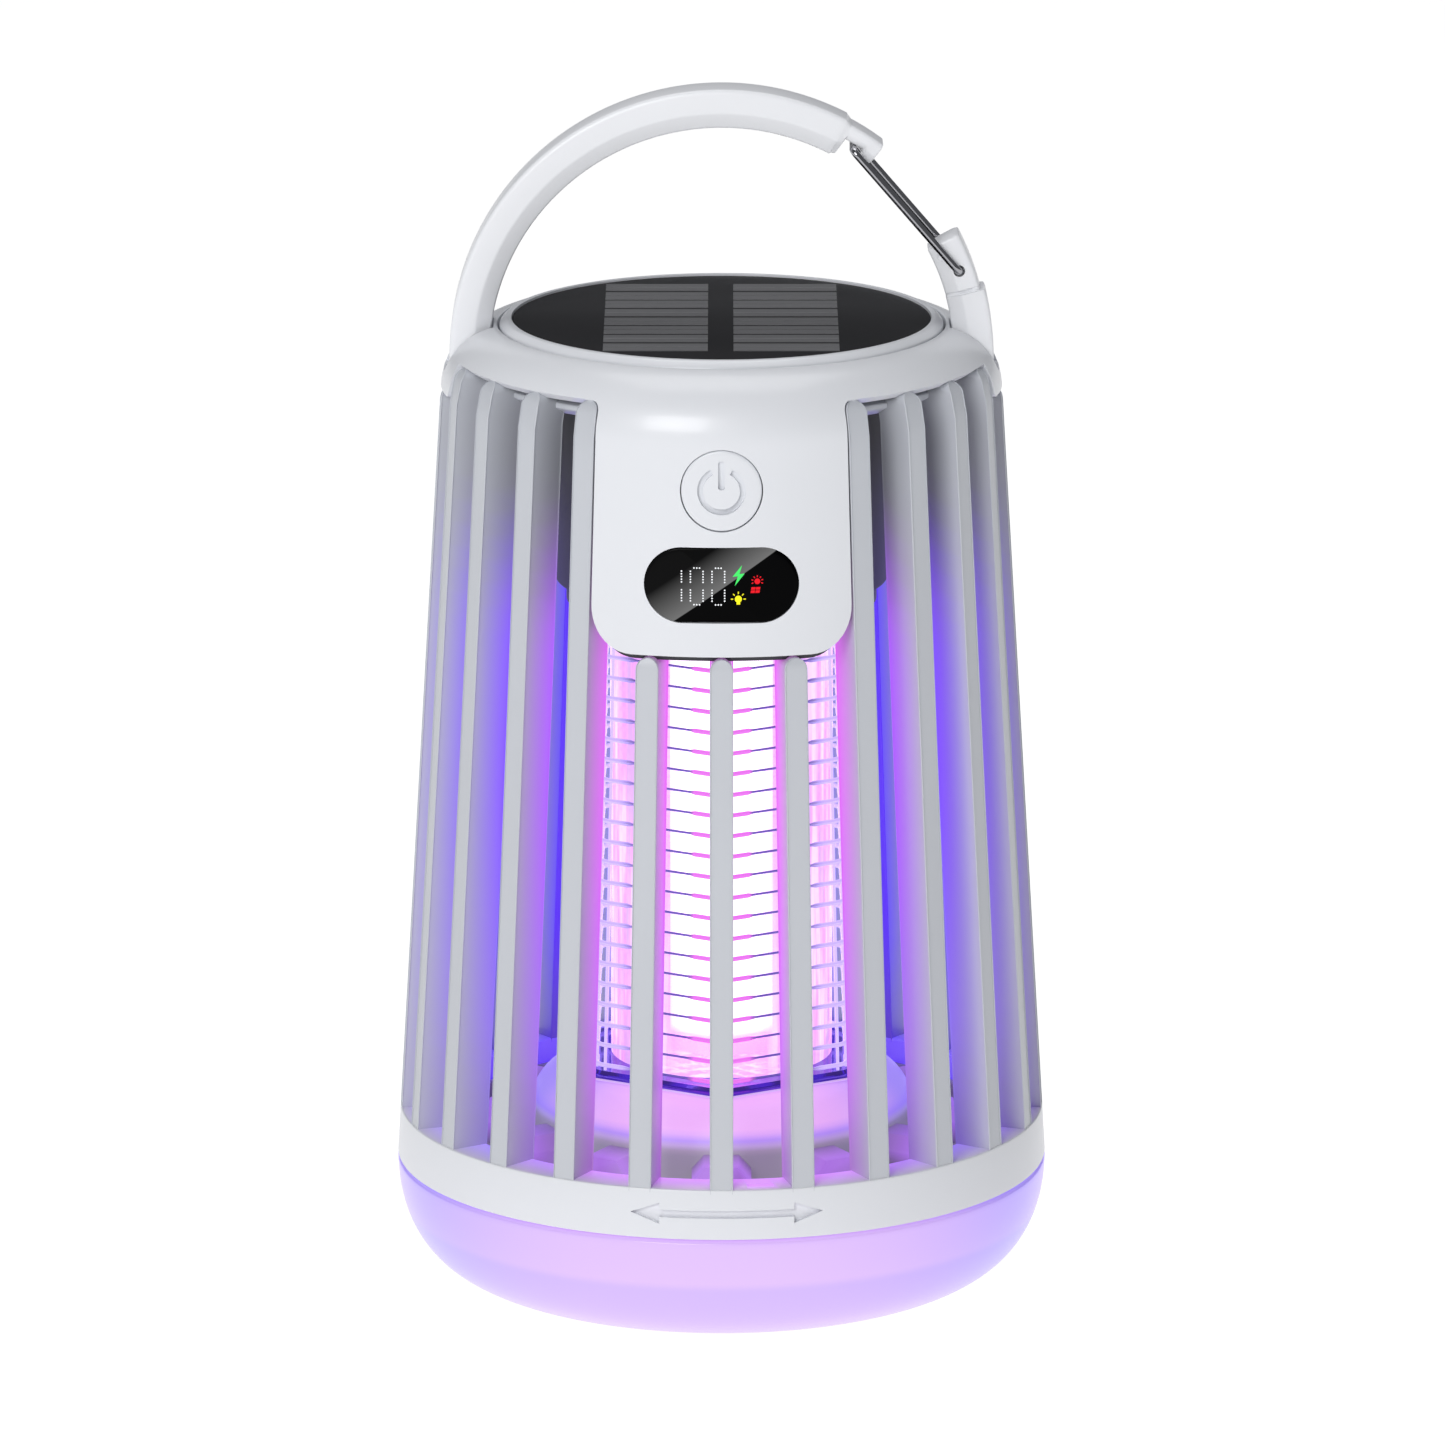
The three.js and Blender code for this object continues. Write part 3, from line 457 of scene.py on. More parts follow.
def skirt_columns(skirt):
    """Angles across a skirt, closer together where its lower corners curve."""
    half = skirt["half"] + skirt["flare"]
    corner = math.degrees(skirt["corner"] / SKIRT_R)
    bend = half - corner * (1 - np.cos(np.linspace(0, np.pi / 2, 12)))[::-1]
    middle = np.linspace(-half + corner, half - corner, 33)[1:-1]
    return skirt["middle"] + np.concatenate([-bend[::-1], middle, bend])


all_columns = np.concatenate([skirt_columns(s) for s in SKIRTS])
spare = np.arange(-90, 270, 2.0)
all_columns = np.sort(np.unique(np.round(np.concatenate([all_columns, spare]) % 360, 5)))


def round_z(r, z, degrees):
    """Points at radius r and height z, turned from the front by an angle in degrees."""
    turn = np.radians(degrees)
    return np.stack([r * np.sin(turn), -r * np.cos(turn), z + 0 * turn], -1)


def shoulder_sheet():
    """Arc of the shoulder from the bezel's well down to the rim, round the whole head."""
    angle = np.linspace(top_angle, rim_angle, 16)
    r = SHOULDER_X + SHOULDER * np.cos(angle)
    z = SHOULDER_Z + SHOULDER * np.sin(angle)
    lip_r = np.array([WELL_R, WELL_R, WELL_R + 0.1 * MM])
    lip_z = np.array([DECK_Z, z[0] - 0.5 * MM, z[0] - 0.1 * MM])
    r, z = np.concatenate([lip_r, r]), np.concatenate([lip_z, z])
    return net(round_z(r[:, None], z[:, None], all_columns[None, :]), wrap_columns=True)


def skirt_sheet(skirt, inset=0.0, lower=0.0):
    """Rim of the shoulder carried down the skin: fillets at the rim, quarter circles at the lower corners."""
    rim_half = skirt["half"] + skirt["flare"]
    offset = (all_columns - skirt["middle"] + 180) % 360 - 180
    offset = np.sort(offset[np.abs(offset) <= rim_half + 1e-4])
    corner = skirt["corner"]
    from_edge = np.radians(rim_half - np.abs(offset)) * SKIRT_R
    lift = corner - np.sqrt(np.clip(corner ** 2 - np.clip(corner - from_edge, 0, corner) ** 2, 0, None))
    bottom = skirt["bottom"] + lift - lower
    t = np.linspace(0, 1, 30)[:, None] ** 1.6
    z = RIM_Z + (bottom[None, :] - RIM_Z) * t
    fillet = np.radians(skirt["flare"]) * 52 * MM
    near_rim = np.clip(1 - (RIM_Z - z) / (fillet * 1.2), 0, 1)
    flare = skirt["flare"] * (1 - np.sqrt(1 - near_rim ** 2))
    spread = skirt["middle"] + offset[None, :] * (skirt["half"] + flare) / rim_half
    return net(round_z(skin_r(z) - inset, z, spread))


def circle(radius, z, x=0.0, count=72):
    """Points evenly spaced round a circle in the XZ plane."""
    turn = np.linspace(0, 2 * np.pi, count, endpoint=False)
    return np.column_stack([x + radius * np.cos(turn), z + radius * np.sin(turn)])


def pill(width, height, z, count=72):
    """Two half circles joined by straight sides, centred on x = 0."""
    radius = height / 2
    turn = np.linspace(0, 2 * np.pi, count, endpoint=False)
    shift = (width / 2 - radius) * np.sign(np.cos(turn) + 1e-9)
    return np.column_stack([radius * np.cos(turn) + shift, z + radius * np.sin(turn)])


def gather(parts):
    """Several (points, quads) pairs as one pair."""
    points, quads, count = [], [], 0
    for p, q in parts:
        points.append(p)
        quads.append(np.asarray(q) + count)
        count += len(p)
    return np.vstack(points), np.vstack(quads)


BUTTON_R = 7.7 * MM
BUTTON_Z = 170 * MM
# width, height and middle's height of the two pill-shaped openings
WINDOW = (29.2 * MM, 14.3 * MM, 151.9 * MM)
COVER = (15 * MM, 9 * MM, 152 * MM)
BUTTON_GAP, WINDOW_GAP, COVER_GAP = 0.18 * MM, 0.15 * MM, 0.2 * MM
FAR = 80 * MM
LEG_SLOT_IN = 44.2 * MM
LEG_SLOT_Z = 182.6 * MM
LEG_SLOT_HALF = 4.8 * MM


def head():
    """Sheets welded together, thickened inwards and pierced."""
    points, quads = gather([shoulder_sheet()] + [skirt_sheet(s) for s in SKIRTS])
    shell = build("head_shell", points, quads, weld=2e-6)
    xyz = places(shell)
    normal = np.empty(len(xyz) * 3)
    shell.data.vertices.foreach_get("normal", normal)
    if (xyz[:, :2] * normal.reshape(-1, 3)[:, :2]).sum() < 0:
        shell.data.flip_normals()
    wall = shell.modifiers.new("wall", "SOLIDIFY")
    wall.thickness, wall.offset, wall.use_even_offset = WALL, -1, True
    seen = bpy.context.evaluated_depsgraph_get()
    shell.data = bpy.data.meshes.new_from_object(shell.evaluated_get(seen))
    shell.modifiers.clear()
    hole = circle(BUTTON_R + BUTTON_GAP, BUTTON_Z, count=96)
    pane = pill(WINDOW[0] + 2 * WINDOW_GAP, WINDOW[1] + 2 * WINDOW_GAP, WINDOW[2], 96)
    port = pill(COVER[0] + 2 * COVER_GAP, COVER[1] + 2 * COVER_GAP, COVER[2], 96)
    cutters = [
        build("button_cutter", *prism(hole, -FAR, 0)),
        build("window_cutter", *prism(pane, -FAR, 0)),
        build("cover_cutter", *prism(port, 0, FAR)),
    ]
    carve(shell, cutters)
    slots = []
    for side in (-1, 1):
        near, far = side * LEG_SLOT_IN, side * 60 * MM
        box = [(near, LEG_SLOT_Z), (far, LEG_SLOT_Z), (far, 0.2), (near, 0.2)]
        slots.append(build("leg_cutter", *prism(box, -LEG_SLOT_HALF, LEG_SLOT_HALF)))
    return carve(shell, slots, smooth_angle=32, folded=True)


# Near-black sheet a little inside and below the front apron: it stands for the housing wall behind the apron,
# and its dark colour stands in for the shade seen under the apron's edge.
SHADE_LINING_INSET, SHADE_LINING_DROP, SHADE_LINING_WALL = 2.5 * MM, 1.3 * MM, 0.8 * MM
shade_lining = build("apron_shade_lining", *skirt_sheet(SKIRTS[0], SHADE_LINING_INSET, SHADE_LINING_DROP))
shade_lining.modifiers.new("wall", "SOLIDIFY").thickness = SHADE_LINING_WALL
finish_piece(shade_lining, drum_abs, "housing", "drum_grey")
shell = head()
paint(shell, np.zeros(3))
finish_piece(shell, white_abs, "housing", "shell_white", "top_cap")


# ---- Power button ----
# Round key of the same white ABS, flush with the apron, with the power mark engraved in its face.
# It presses straight in against the switch behind it.
def skin_plug(name, outline, rows, side):
    """Plug whose face follows the cone: outlines shrunk by a fraction and sunk by a depth, row by row."""
    middle = (outline.max(0) + outline.min(0)) / 2
    sheets = []
    for shrink, sunk in rows:
        flat = middle + (outline - middle) * shrink
        reach = np.sqrt(np.maximum(cone_r(flat[:, 1]) ** 2 - flat[:, 0] ** 2, 0)) - sunk
        sheets.append(np.column_stack([flat[:, 0], side * reach, flat[:, 1]]))
    points, quads = net(np.stack(sheets), wrap_columns=True)
    return build(name, points, quads, smooth_angle=40)


def face_rows(sunk, deep, edge, reach):
    """Rows of a plug: its face out from the middle, a rounded edge, its side, and its back."""
    face = [(s, sunk) for s in np.linspace(0.0, 1 - edge / reach, 12)]
    bend = [(1 - edge / reach * (1 - math.sin(a)), sunk + edge * (1 - math.cos(a)))
            for a in np.linspace(0, math.pi / 2, 5)[1:]]
    return face + bend + [(1.0, deep), (0.0, deep)]


MARK_OUTER, MARK_INNER = 4.6 * MM, 3.5 * MM
MARK_OPENING = math.radians(27)
BAR_HALF, BAR_LOW, BAR_HIGH = 0.62 * MM, 0.2 * MM, 5.7 * MM
MARK_FLOOR = 1.15 * MM


def power_mark():
    """Ring open at the top, and the bar that stands in the opening."""
    sweep = np.linspace(math.pi / 2 + MARK_OPENING, 2.5 * math.pi - MARK_OPENING, 60)
    arc = np.column_stack([np.cos(sweep), np.sin(sweep)])
    ring = np.vstack([MARK_OUTER * arc, MARK_INNER * arc[::-1]])
    bar = rounded([(-BAR_HALF, BAR_LOW), (BAR_HALF, BAR_LOW), (BAR_HALF, BAR_HIGH), (-BAR_HALF, BAR_HIGH)],
                  0.5 * MM)
    return [ring + [0, BUTTON_Z], bar + [0, BUTTON_Z]]


key_rows = face_rows(0.1 * MM, 4 * MM, 0.35 * MM, BUTTON_R)
key = skin_plug("power_key", circle(BUTTON_R, BUTTON_Z, count=96), key_rows, -1)
mark_y = MARK_FLOOR - cone_r(BUTTON_Z)
carve(key, [build("mark_cutter", *prism(outline, -FAR, mark_y)) for outline in power_mark()])
paint(key, np.zeros(3))
finish_piece(key, white_abs, "button", "shell_white", "power_button")


# ---- Display window ----
# Smoked acrylic pill set in the apron. Behind its face the display shows a dot-matrix charge figure, a
# green bolt, a yellow lamp and a red sun over a panel.
smoked = plastic("smoked_acrylic", (0.001, 0.001, 0.0012), 0.12, 0.03, 800, 0.0, 0.1, shine=0.03)
# Slanting line and fade of the painted reflection on the window, in Object coordinates.
REFLECTION_ACROSS = (-0.57 / MM, 0, 0.82 / MM)
REFLECTION_START = 0.82 * WINDOW[2] / MM - 0.6
REFLECTION_REACH = 14


def add_painted_reflection(material):
    """Painted reflection of a softbox over the upper left of the window, given out as emission: it ends at a
    slanting line and fades away from it.
    """
    tree, link = material.node_tree.nodes, material.node_tree.links.new
    place = tree.new("ShaderNodeTexCoord")
    along = tree.new("ShaderNodeVectorMath")
    along.operation = "DOT_PRODUCT"
    along.inputs[1].default_value = REFLECTION_ACROSS
    link(place.outputs["Object"], along.inputs[0])
    ramp = tree.new("ShaderNodeValToRGB")
    ends = tree.new("ShaderNodeMapRange")
    ends.inputs["From Min"].default_value = REFLECTION_START
    ends.inputs["From Max"].default_value = REFLECTION_START + REFLECTION_REACH
    link(along.outputs["Value"], ends.inputs["Value"])
    ramp.color_ramp.elements[0].position = 0.0
    ramp.color_ramp.elements[0].color = (0, 0, 0, 1)
    ramp.color_ramp.elements[1].position = 0.5
    ramp.color_ramp.elements[1].color = (0.004, 0.004, 0.004, 1)
    edge = ramp.color_ramp.elements.new(0.008)
    edge.color = (0.17, 0.17, 0.17, 1)
    link(ends.outputs["Result"], ramp.inputs["Fac"])
    link(ramp.outputs["Color"], tree["Principled BSDF"].inputs["Emission Color"])
    tree["Principled BSDF"].inputs["Emission Strength"].default_value = 1.0


add_painted_reflection(smoked)
pane_rows = face_rows(0.1 * MM, 2 * MM, 0.3 * MM, WINDOW[1] / 2)
window = skin_plug("display_lens", pill(*WINDOW, 96), pane_rows, -1)
finish_piece(window, smoked, "housing", "window_black", "display_window")


def lit(name, color, strength):
    """Glowing diode colour with a faint mottle."""
    material = plastic(name, tuple(0.1 * c for c in color), 0.3, 0.05, 900, 0.0, 0.1, shine=0.1)
    shader = material.node_tree.nodes["Principled BSDF"]
    shader.inputs["Emission Color"].default_value = (*color, 1)
    shader.inputs["Emission Strength"].default_value = strength
    return material


def on_window(outlines):
    """Flat shapes in window coordinates (millimetres from its middle) laid just proud of its face."""
    points, faces, count = [], [], 0
    for outline in outlines:
        flat = np.asarray(outline, float) * MM + [0, WINDOW[2]]
        for lift in (0.02 * MM, -0.06 * MM):
            reach = np.sqrt(cone_r(flat[:, 1]) ** 2 - flat[:, 0] ** 2) - 0.1 * MM + lift
            points.append(np.column_stack([flat[:, 0], -reach, flat[:, 1]]))
        n = len(flat)
        faces += [list(range(count, count + n)), list(range(count + n, count + 2 * n))]
        ring = np.arange(n)
        after = (ring + 1) % n
        faces += (np.column_stack([ring, after, after + n, ring + n]) + count).tolist()
        count += 2 * n
    return np.vstack(points), np.empty((0, 4), int), faces


def dot(x, z, radius=0.155, count=8):
    """Round diode or disc of the display, as a polygon."""
    turn = np.linspace(0, 2 * np.pi, count, endpoint=False)
    return np.column_stack([x + radius * np.cos(turn), z + radius * np.sin(turn)])


DIGIT_COLUMNS = (-7.6, -5.9, -3.5, -1.8, 0.6)
DIGIT_ROWS = (2.7, 2.18, 1.66, 1.14, 0.62, -0.9, -1.42, -1.94, -2.46, -2.98)
digit_dots = [dot(x, z) for x in DIGIT_COLUMNS for z in DIGIT_ROWS]
digit_dots += [dot(a + (b - a) * f, z) for a, b in ((-5.9, -3.5), (-1.8, 0.6))
               for f in (0.28, 0.5, 0.72) for z in (3.35, -3.7)]
bolt = [(3.9, 3.9), (2.1, 1.7), (3.1, 1.8), (2.5, -0.1), (4.4, 2.3), (3.4, 2.2)]
BULB = (3.2, -2.6)
SUN = (6.8, 0.75)
bulb_cap = [(2.85, -3.15), (3.55, -3.15), (3.55, -3.65), (2.85, -3.65)]


def rays(x, z, near, far, count, start, spread):
    """Short bars round a centre, over a spread of angles from a first one."""
    bars = []
    for angle in np.radians(start + np.linspace(0, spread, count)):
        along = np.array([math.cos(angle), math.sin(angle)])
        across = np.array([-along[1], along[0]]) * 0.1
        inner, outer = np.array([x, z]) + near * along, np.array([x, z]) + far * along
        bars.append([inner - across, outer - across, outer + across, inner + across])
    return bars


bulb = [dot(*BULB, 0.68, 20), bulb_cap] + rays(*BULB, 0.98, 1.42, 5, 0, 180)
pane_cell = np.array([(5.7, -0.35), (6.5, -0.35), (6.4, -0.85), (5.6, -0.85)])
sun = [dot(*SUN, 0.55, 16)] + rays(*SUN, 0.8, 1.15, 7, -20, 220)
sun += [pane_cell + [0.9 * column - 0.1 * row, -0.62 * row] for column in (0, 1) for row in (0, 1)]
for name, shapes, color, strength in (
    ("charge_figure", digit_dots, (0.9, 0.92, 0.95), 1.1),
    ("bolt_mark", [bolt], (0.07, 0.86, 0.16), 1.0),
    ("bulb_mark", bulb, (0.98, 0.90, 0.02), 1.0),
    ("sun_mark", sun, (0.86, 0.01, 0.02), 1.0),
):
    points, quads, faces = on_window(shapes)
    mark = build(name, points, quads, faces, 30, 1e-8)
    finish_piece(mark, lit(name + "_light", color, strength), "housing", "window_black")


# ---- Bezel and solar panel ----
# White ring pressed into the head's well, round a black epoxy disc. Two groups of eight grey cells, each
# cut into two strips, lie in the epoxy, and fine silver fingers run along every strip.
bezel_low, bezel_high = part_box("solar_bezel")
panel_low, panel_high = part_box("solar_panel")
BEZEL_R = 43.1 * MM
PANEL_R = 40.6 * MM
SEAT_R = PANEL_R + 0.15 * MM
LIP_R = PANEL_R - 2 * MM
LIP_Z = bezel_low.z + 1.4 * MM
bezel_profile = [(LIP_R, bezel_low.z), (BEZEL_R, bezel_low.z), (BEZEL_R, bezel_high.z - 1.2 * MM),
                 (BEZEL_R - 1.3 * MM, bezel_high.z), (SEAT_R, bezel_high.z), (SEAT_R, LIP_Z), (LIP_R, LIP_Z)]
bezel_radii = np.array([0.1, 0.2, 0.4, 0.5, 0.12, 0.1, 0.1]) * MM
bezel = build("bezel_ring", *turned(rounded(bezel_profile, bezel_radii), 240))
paint(bezel, np.zeros(3))
finish_piece(bezel, white_abs, "housing", "shell_white", "solar_bezel")

epoxy_z = panel_high.z - 0.15 * MM
panel_profile = [(0, panel_low.z), (PANEL_R, panel_low.z), (PANEL_R, epoxy_z - 0.15 * MM),
                 (PANEL_R - 0.3 * MM, epoxy_z), (0, epoxy_z)]
epoxy = plastic("panel_epoxy", (0.02, 0.02, 0.022), 0.4, 0.06, 700, 0.01, 0.15, shine=0.05)
panel = build("panel_disc", *turned(panel_profile, 240))
finish_piece(panel, epoxy, "housing", "solar_black", "solar_panel")


def cell_strip(x0, x1, y0, y1, z):
    """Thin plate with its top edges bevelled."""
    rows = []
    for inset, height in ((0, z - 0.2 * MM), (0, z - 0.05 * MM), (0.06 * MM, z)):
        rows.append([(x0 + inset, y0 + inset, height), (x1 - inset, y0 + inset, height),
                     (x1 - inset, y1 - inset, height), (x0 + inset, y1 - inset, height)])
    points, quads = net(np.array(rows), wrap_columns=True)
    return points, np.vstack([quads, [[0, 1, 2, 3], [8, 9, 10, 11]]])


CELL_COUNT = 8
CELL_PITCH = 8.1 * MM
STRIP_OFF = 1.72 * MM
STRIP_HALF = 1.58 * MM
strips = []
for x0, x1 in ((-22.7 * MM, -2.6 * MM), (2.3 * MM, 22.6 * MM)):
    for i in range(CELL_COUNT):
        for part in (-1, 1):
            middle = (i - CELL_COUNT / 2 + 0.5) * CELL_PITCH + part * STRIP_OFF
            strips.append(cell_strip(x0, x1, middle - STRIP_HALF, middle + STRIP_HALF, panel_high.z))
cells = build("cell_strips", *gather(strips), smooth_angle=20)


def cell_material():
    """Grey silicon with fine fingers along it: a sine of the Object y coordinate picks out the lines."""
    material = plastic("cell_silicon", (0.13, 0.13, 0.14), 0.4, 0.1, 500, 0.01, 0.3, shine=0.15)
    tree, link = material.node_tree.nodes, material.node_tree.links.new
    shader = tree["Principled BSDF"]
    place = tree.new("ShaderNodeTexCoord")
    waves = tree.new("ShaderNodeTexWave")
    waves.wave_profile = "SIN"
    waves.bands_direction = "Y"
    waves.inputs["Scale"].default_value = 400
    link(place.outputs["Object"], waves.inputs["Vector"])
    lines = tree.new("ShaderNodeValToRGB")
    lines.color_ramp.elements[0].position = 0.55
    lines.color_ramp.elements[0].color = (0.11, 0.11, 0.115, 1)
    lines.color_ramp.elements[1].position = 0.98
    lines.color_ramp.elements[1].color = (0.23, 0.23, 0.24, 1)
    link(waves.outputs["Fac"], lines.inputs["Fac"])
    link(lines.outputs["Color"], shader.inputs["Base Color"])
    return material


finish_piece(cells, cell_material(), "housing", "solar_black")


# ---- Electronics drum ----
# Dark grey drum under the head that holds the boards and the cell, with a box out to each apron for the
# display and the charge port, and a plate under it that carries the grid.
drum_low, drum_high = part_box("electronics_drum")
DRUM_R = 32.5 * MM
DRUM_WALL = 2 * MM
drum_bore = DRUM_R - DRUM_WALL
drum_floor = drum_low.z + DRUM_WALL
drum_profile = [(5 * MM, drum_low.z), (DRUM_R, drum_low.z), (DRUM_R, drum_high.z), (drum_bore, drum_high.z),
                (drum_bore, drum_floor), (5 * MM, drum_floor)]
drum = build("drum_shell", *turned(rounded(drum_profile, 0.8 * MM), 128))
finish_piece(drum, drum_abs, "housing", "drum_grey", "electronics_drum")
plate_low, plate_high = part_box("grid_top_plate")
PLATE_R = 30.3 * MM
SOCKET_R = 21.2 * MM
socket_top = plate_high.z - 1.5 * MM
plate_profile = [(SOCKET_R, plate_low.z), (PLATE_R, plate_low.z), (PLATE_R, plate_high.z),
                 (5 * MM, plate_high.z), (5 * MM, socket_top), (SOCKET_R, socket_top)]
plate = build("grid_plate", *turned(rounded(plate_profile, 0.5 * MM), 128))
finish_piece(plate, drum_abs, "housing", "drum_grey", "grid_top_plate")
for name in ("control_box", "port_box"):
    nodes[name].data.materials.clear()
    nodes[name].data.materials.append(drum_abs)


# ---- High-voltage grid ----
# Plated wire hoops bent round a hexagon and welded to pairs of upright rods at its corners, standing on a
# polished metal flange. The high voltage on them kills the insects that the lamp draws in.
GRID_Z0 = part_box("grid_face_0")[0].z + 0.6 * MM
GRID_Z1 = 135.6 * MM
GRID_R0 = 28.2 * MM
GRID_R1 = 25.8 * MM
HOOP_PITCH = 4.1 * MM
WIRE_R = 0.45 * MM
ROD_R = 0.32 * MM
ROD_SWING = 3.4
LIT_HALF_ANGLE = 13.0
LIT_HALF_WIDTH = 12 * MM
WIRE_DARK = np.array([0.05, 0.03, 0.16])
WIRE_LILAC = np.array([0.56, 0.42, 0.82])
WIRE_PINK = np.array([0.80, 0.16, 0.74])


def grid_r(z):
    """Corner radius of the hexagon, which widens evenly from top to foot."""
    return GRID_R0 + (GRID_R1 - GRID_R0) * (z - GRID_Z0) / (GRID_Z1 - GRID_Z0)


def hexagon_path(radius, round_off, per_corner=5):
    """Hexagon with a corner at the front, each corner replaced by a quadratic curve."""
    turn = np.radians(-90 + 60 * np.arange(6))
    corners = radius * np.column_stack([np.cos(turn), np.sin(turn)])
    return rounded(corners, round_off, per_corner)


def tube(path, radius, sides=8, closed=False):
    """Circle carried along a path, square to it and held upright; its radius may vary along the way."""
    path = np.asarray(path, float)
    if closed:
        ahead = np.roll(path, -1, 0) - np.roll(path, 1, 0)
    else:
        ahead = np.gradient(path, axis=0)
    ahead /= np.linalg.norm(ahead, axis=1, keepdims=True)
    up = np.where(np.abs(ahead[:, 2:]) > 0.95, [[1.0, 0, 0]], [[0, 0, 1.0]])
    side = np.cross(ahead, up)
    side /= np.linalg.norm(side, axis=1, keepdims=True)
    top = np.cross(side, ahead)
    turn = np.linspace(0, 2 * np.pi, sides, endpoint=False)
    ring = np.cos(turn)[None, :, None] * side[:, None] + np.sin(turn)[None, :, None] * top[:, None]
    return path[:, None] + np.reshape(radius, (-1, 1, 1)) * ring


def closer(path, step):
    """Closed path with points added along its longer sides so that none is longer than a step."""
    route = []
    for a, b in zip(path, np.roll(path, -1, 0)):
        count = max(1, int(np.ceil(np.linalg.norm(b - a) / step)))
        route.append(a + (b - a) * np.linspace(0, 1, count, endpoint=False)[:, None])
    return np.vstack(route)


def facing_lamp(flat):
    """1 on the stretch of a hoop within reach of each corner, where the lamp's light bleeds over it."""
    turn = np.degrees(np.arctan2(flat[:, 1], flat[:, 0])) + 90
    off = np.abs((turn + 30) % 60 - 30)
    return smoothstep(LIT_HALF_ANGLE + 1.5, LIT_HALF_ANGLE, off)


hoop_parts = []
for i in range(int((GRID_Z1 - GRID_Z0) / HOOP_PITCH) + 1):
    z = GRID_Z0 + i * HOOP_PITCH
    flat = closer(hexagon_path(grid_r(z), 1.6 * MM), 0.9 * MM)
    thick = WIRE_R * (0.55 + 0.5 * facing_lamp(flat))
    hoop = tube(np.column_stack([flat, np.full(len(flat), z)]), thick, 8, closed=True)
    hoop_parts.append(net(hoop, wrap_rows=True, wrap_columns=True))
for corner in range(6):
    for swing in (-ROD_SWING, ROD_SWING):
        turn = np.radians(-90 + 60 * corner + swing)
        z = np.linspace(GRID_Z0 - 1.0 * MM, GRID_Z1 + 0.2 * MM, 12)
        r = grid_r(z) - 2 * WIRE_R
        rod = tube(np.column_stack([r * np.cos(turn), r * np.sin(turn), z]), ROD_R, 8)
        hoop_parts.append(net(rod, wrap_columns=True))
grid = build("grid_wires", *gather(hoop_parts), smooth_angle=60)
# Painted light on the wires: a dim violet glow, pale lilac highlights on the rods and hoops towards the
# sides, and pink where the lamp's light bleeds over the front corners, with painted shade on the metal there.
xyz = places(grid)
bleed = facing_lamp(xyz[:, :2]) * (np.abs(xyz[:, 0]) < LIT_HALF_WIDTH) * (xyz[:, 1] < 0)
round_side = smoothstep(16 * MM, 20.5 * MM, np.abs(xyz[:, 0]))
own = blend_hue(WIRE_DARK, WIRE_LILAC, round_side)
paint(grid, blend_hue(own, WIRE_PINK, bleed), 1 - 0.5 * bleed)
wire_steel = plastic("grid_wire", (0.26, 0.24, 0.46), 0.22, 0.1, 600, 0.05, 0.2, metallic=0.8, glow=1.0)
finish_piece(grid, wire_steel, "housing", "grid_metal", *[f"grid_face_{i}" for i in range(6)])

flange_low, flange_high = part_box("grid_base_plate")


def hexagon_block(profile, round_off):
    """Hexagon outlines of given corner radius and height, stacked and capped."""
    rows = []
    for radius, z in profile:
        flat = hexagon_path(radius, round_off)
        rows.append(np.column_stack([flat, np.full(len(flat), z)]))
    points, quads = net(np.stack(rows), wrap_columns=True)
    n = len(rows[0])
    return points, quads, [range(n), range((len(rows) - 1) * n, len(rows) * n)]


FLANGE_R = 30.5 * MM
FLANGE_CORNER = 2.2 * MM
step_z = (flange_low.z + flange_high.z) / 2
flange_profile = [(FLANGE_R - 0.3 * MM, flange_low.z), (FLANGE_R, flange_low.z + 0.3 * MM),
                  (FLANGE_R, step_z), (FLANGE_R - 1.1 * MM, step_z + 0.2 * MM),
                  (FLANGE_R - 1.5 * MM, flange_high.z)]
flange = build("grid_flange", *hexagon_block(flange_profile, FLANGE_CORNER))
# Painted lamp light: a faint violet glow on the flange, and its violet metal colour stands in for the lamp's
# light reflected in the polished metal.
paint(flange, VIOLET * 0.18)
flange_metal = plastic("flange_metal", (0.14, 0.08, 0.50), 0.1, 0.1, 500, 0.03, 0.3, metallic=0.95, glow=0.5)
finish_piece(flange, flange_metal, "housing", "grid_metal", "grid_base_plate")

# Thin bead round the flange's foot that glows pale lilac: a painted highlight along the flange's lower edge.
highlight_rim_profile = [(FLANGE_R + 0.1 * MM, flange_low.z + 0.02 * MM),
               (FLANGE_R + 0.25 * MM, flange_low.z + 0.2 * MM),
               (FLANGE_R + 0.1 * MM, flange_low.z + 0.45 * MM)]
rim = build("flange_highlight_rim", *hexagon_block(highlight_rim_profile, FLANGE_CORNER))
paint(rim, np.array([0.55, 0.36, 0.62]))
finish_piece(rim, wire_steel, "housing", "grid_metal")


# ---- Ultraviolet lamp ----
# Hexagonal column of diode boards behind a frosted cover, with a clear plastic sleeve between it and the
# wires. Lit, the column is nearly white, its foot magenta, and the sleeve catches pink streaks.
lamp_low, lamp_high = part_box("uv_lamp")
LAMP_R = 11.6 * MM
COLLAR = 3 * MM
COLLAR_R = LAMP_R + MM
MAGENTA = np.array([0.9, 0.06, 0.55])
lamp_profile = [(COLLAR_R, lamp_low.z), (COLLAR_R, lamp_low.z + COLLAR),
                (LAMP_R, lamp_low.z + COLLAR + 0.4 * MM), (LAMP_R, lamp_low.z + COLLAR + 2 * MM),
                (LAMP_R, lamp_high.z - COLLAR - 0.4 * MM), (COLLAR_R, lamp_high.z - COLLAR),
                (COLLAR_R, lamp_high.z)]
lamp = build("uv_column", *hexagon_block(lamp_profile, 1.2 * MM), smooth_angle=25)
collar = smoothstep(lamp_low.z + 4.6 * MM, lamp_low.z + 3.2 * MM, places(lamp)[:, 2])
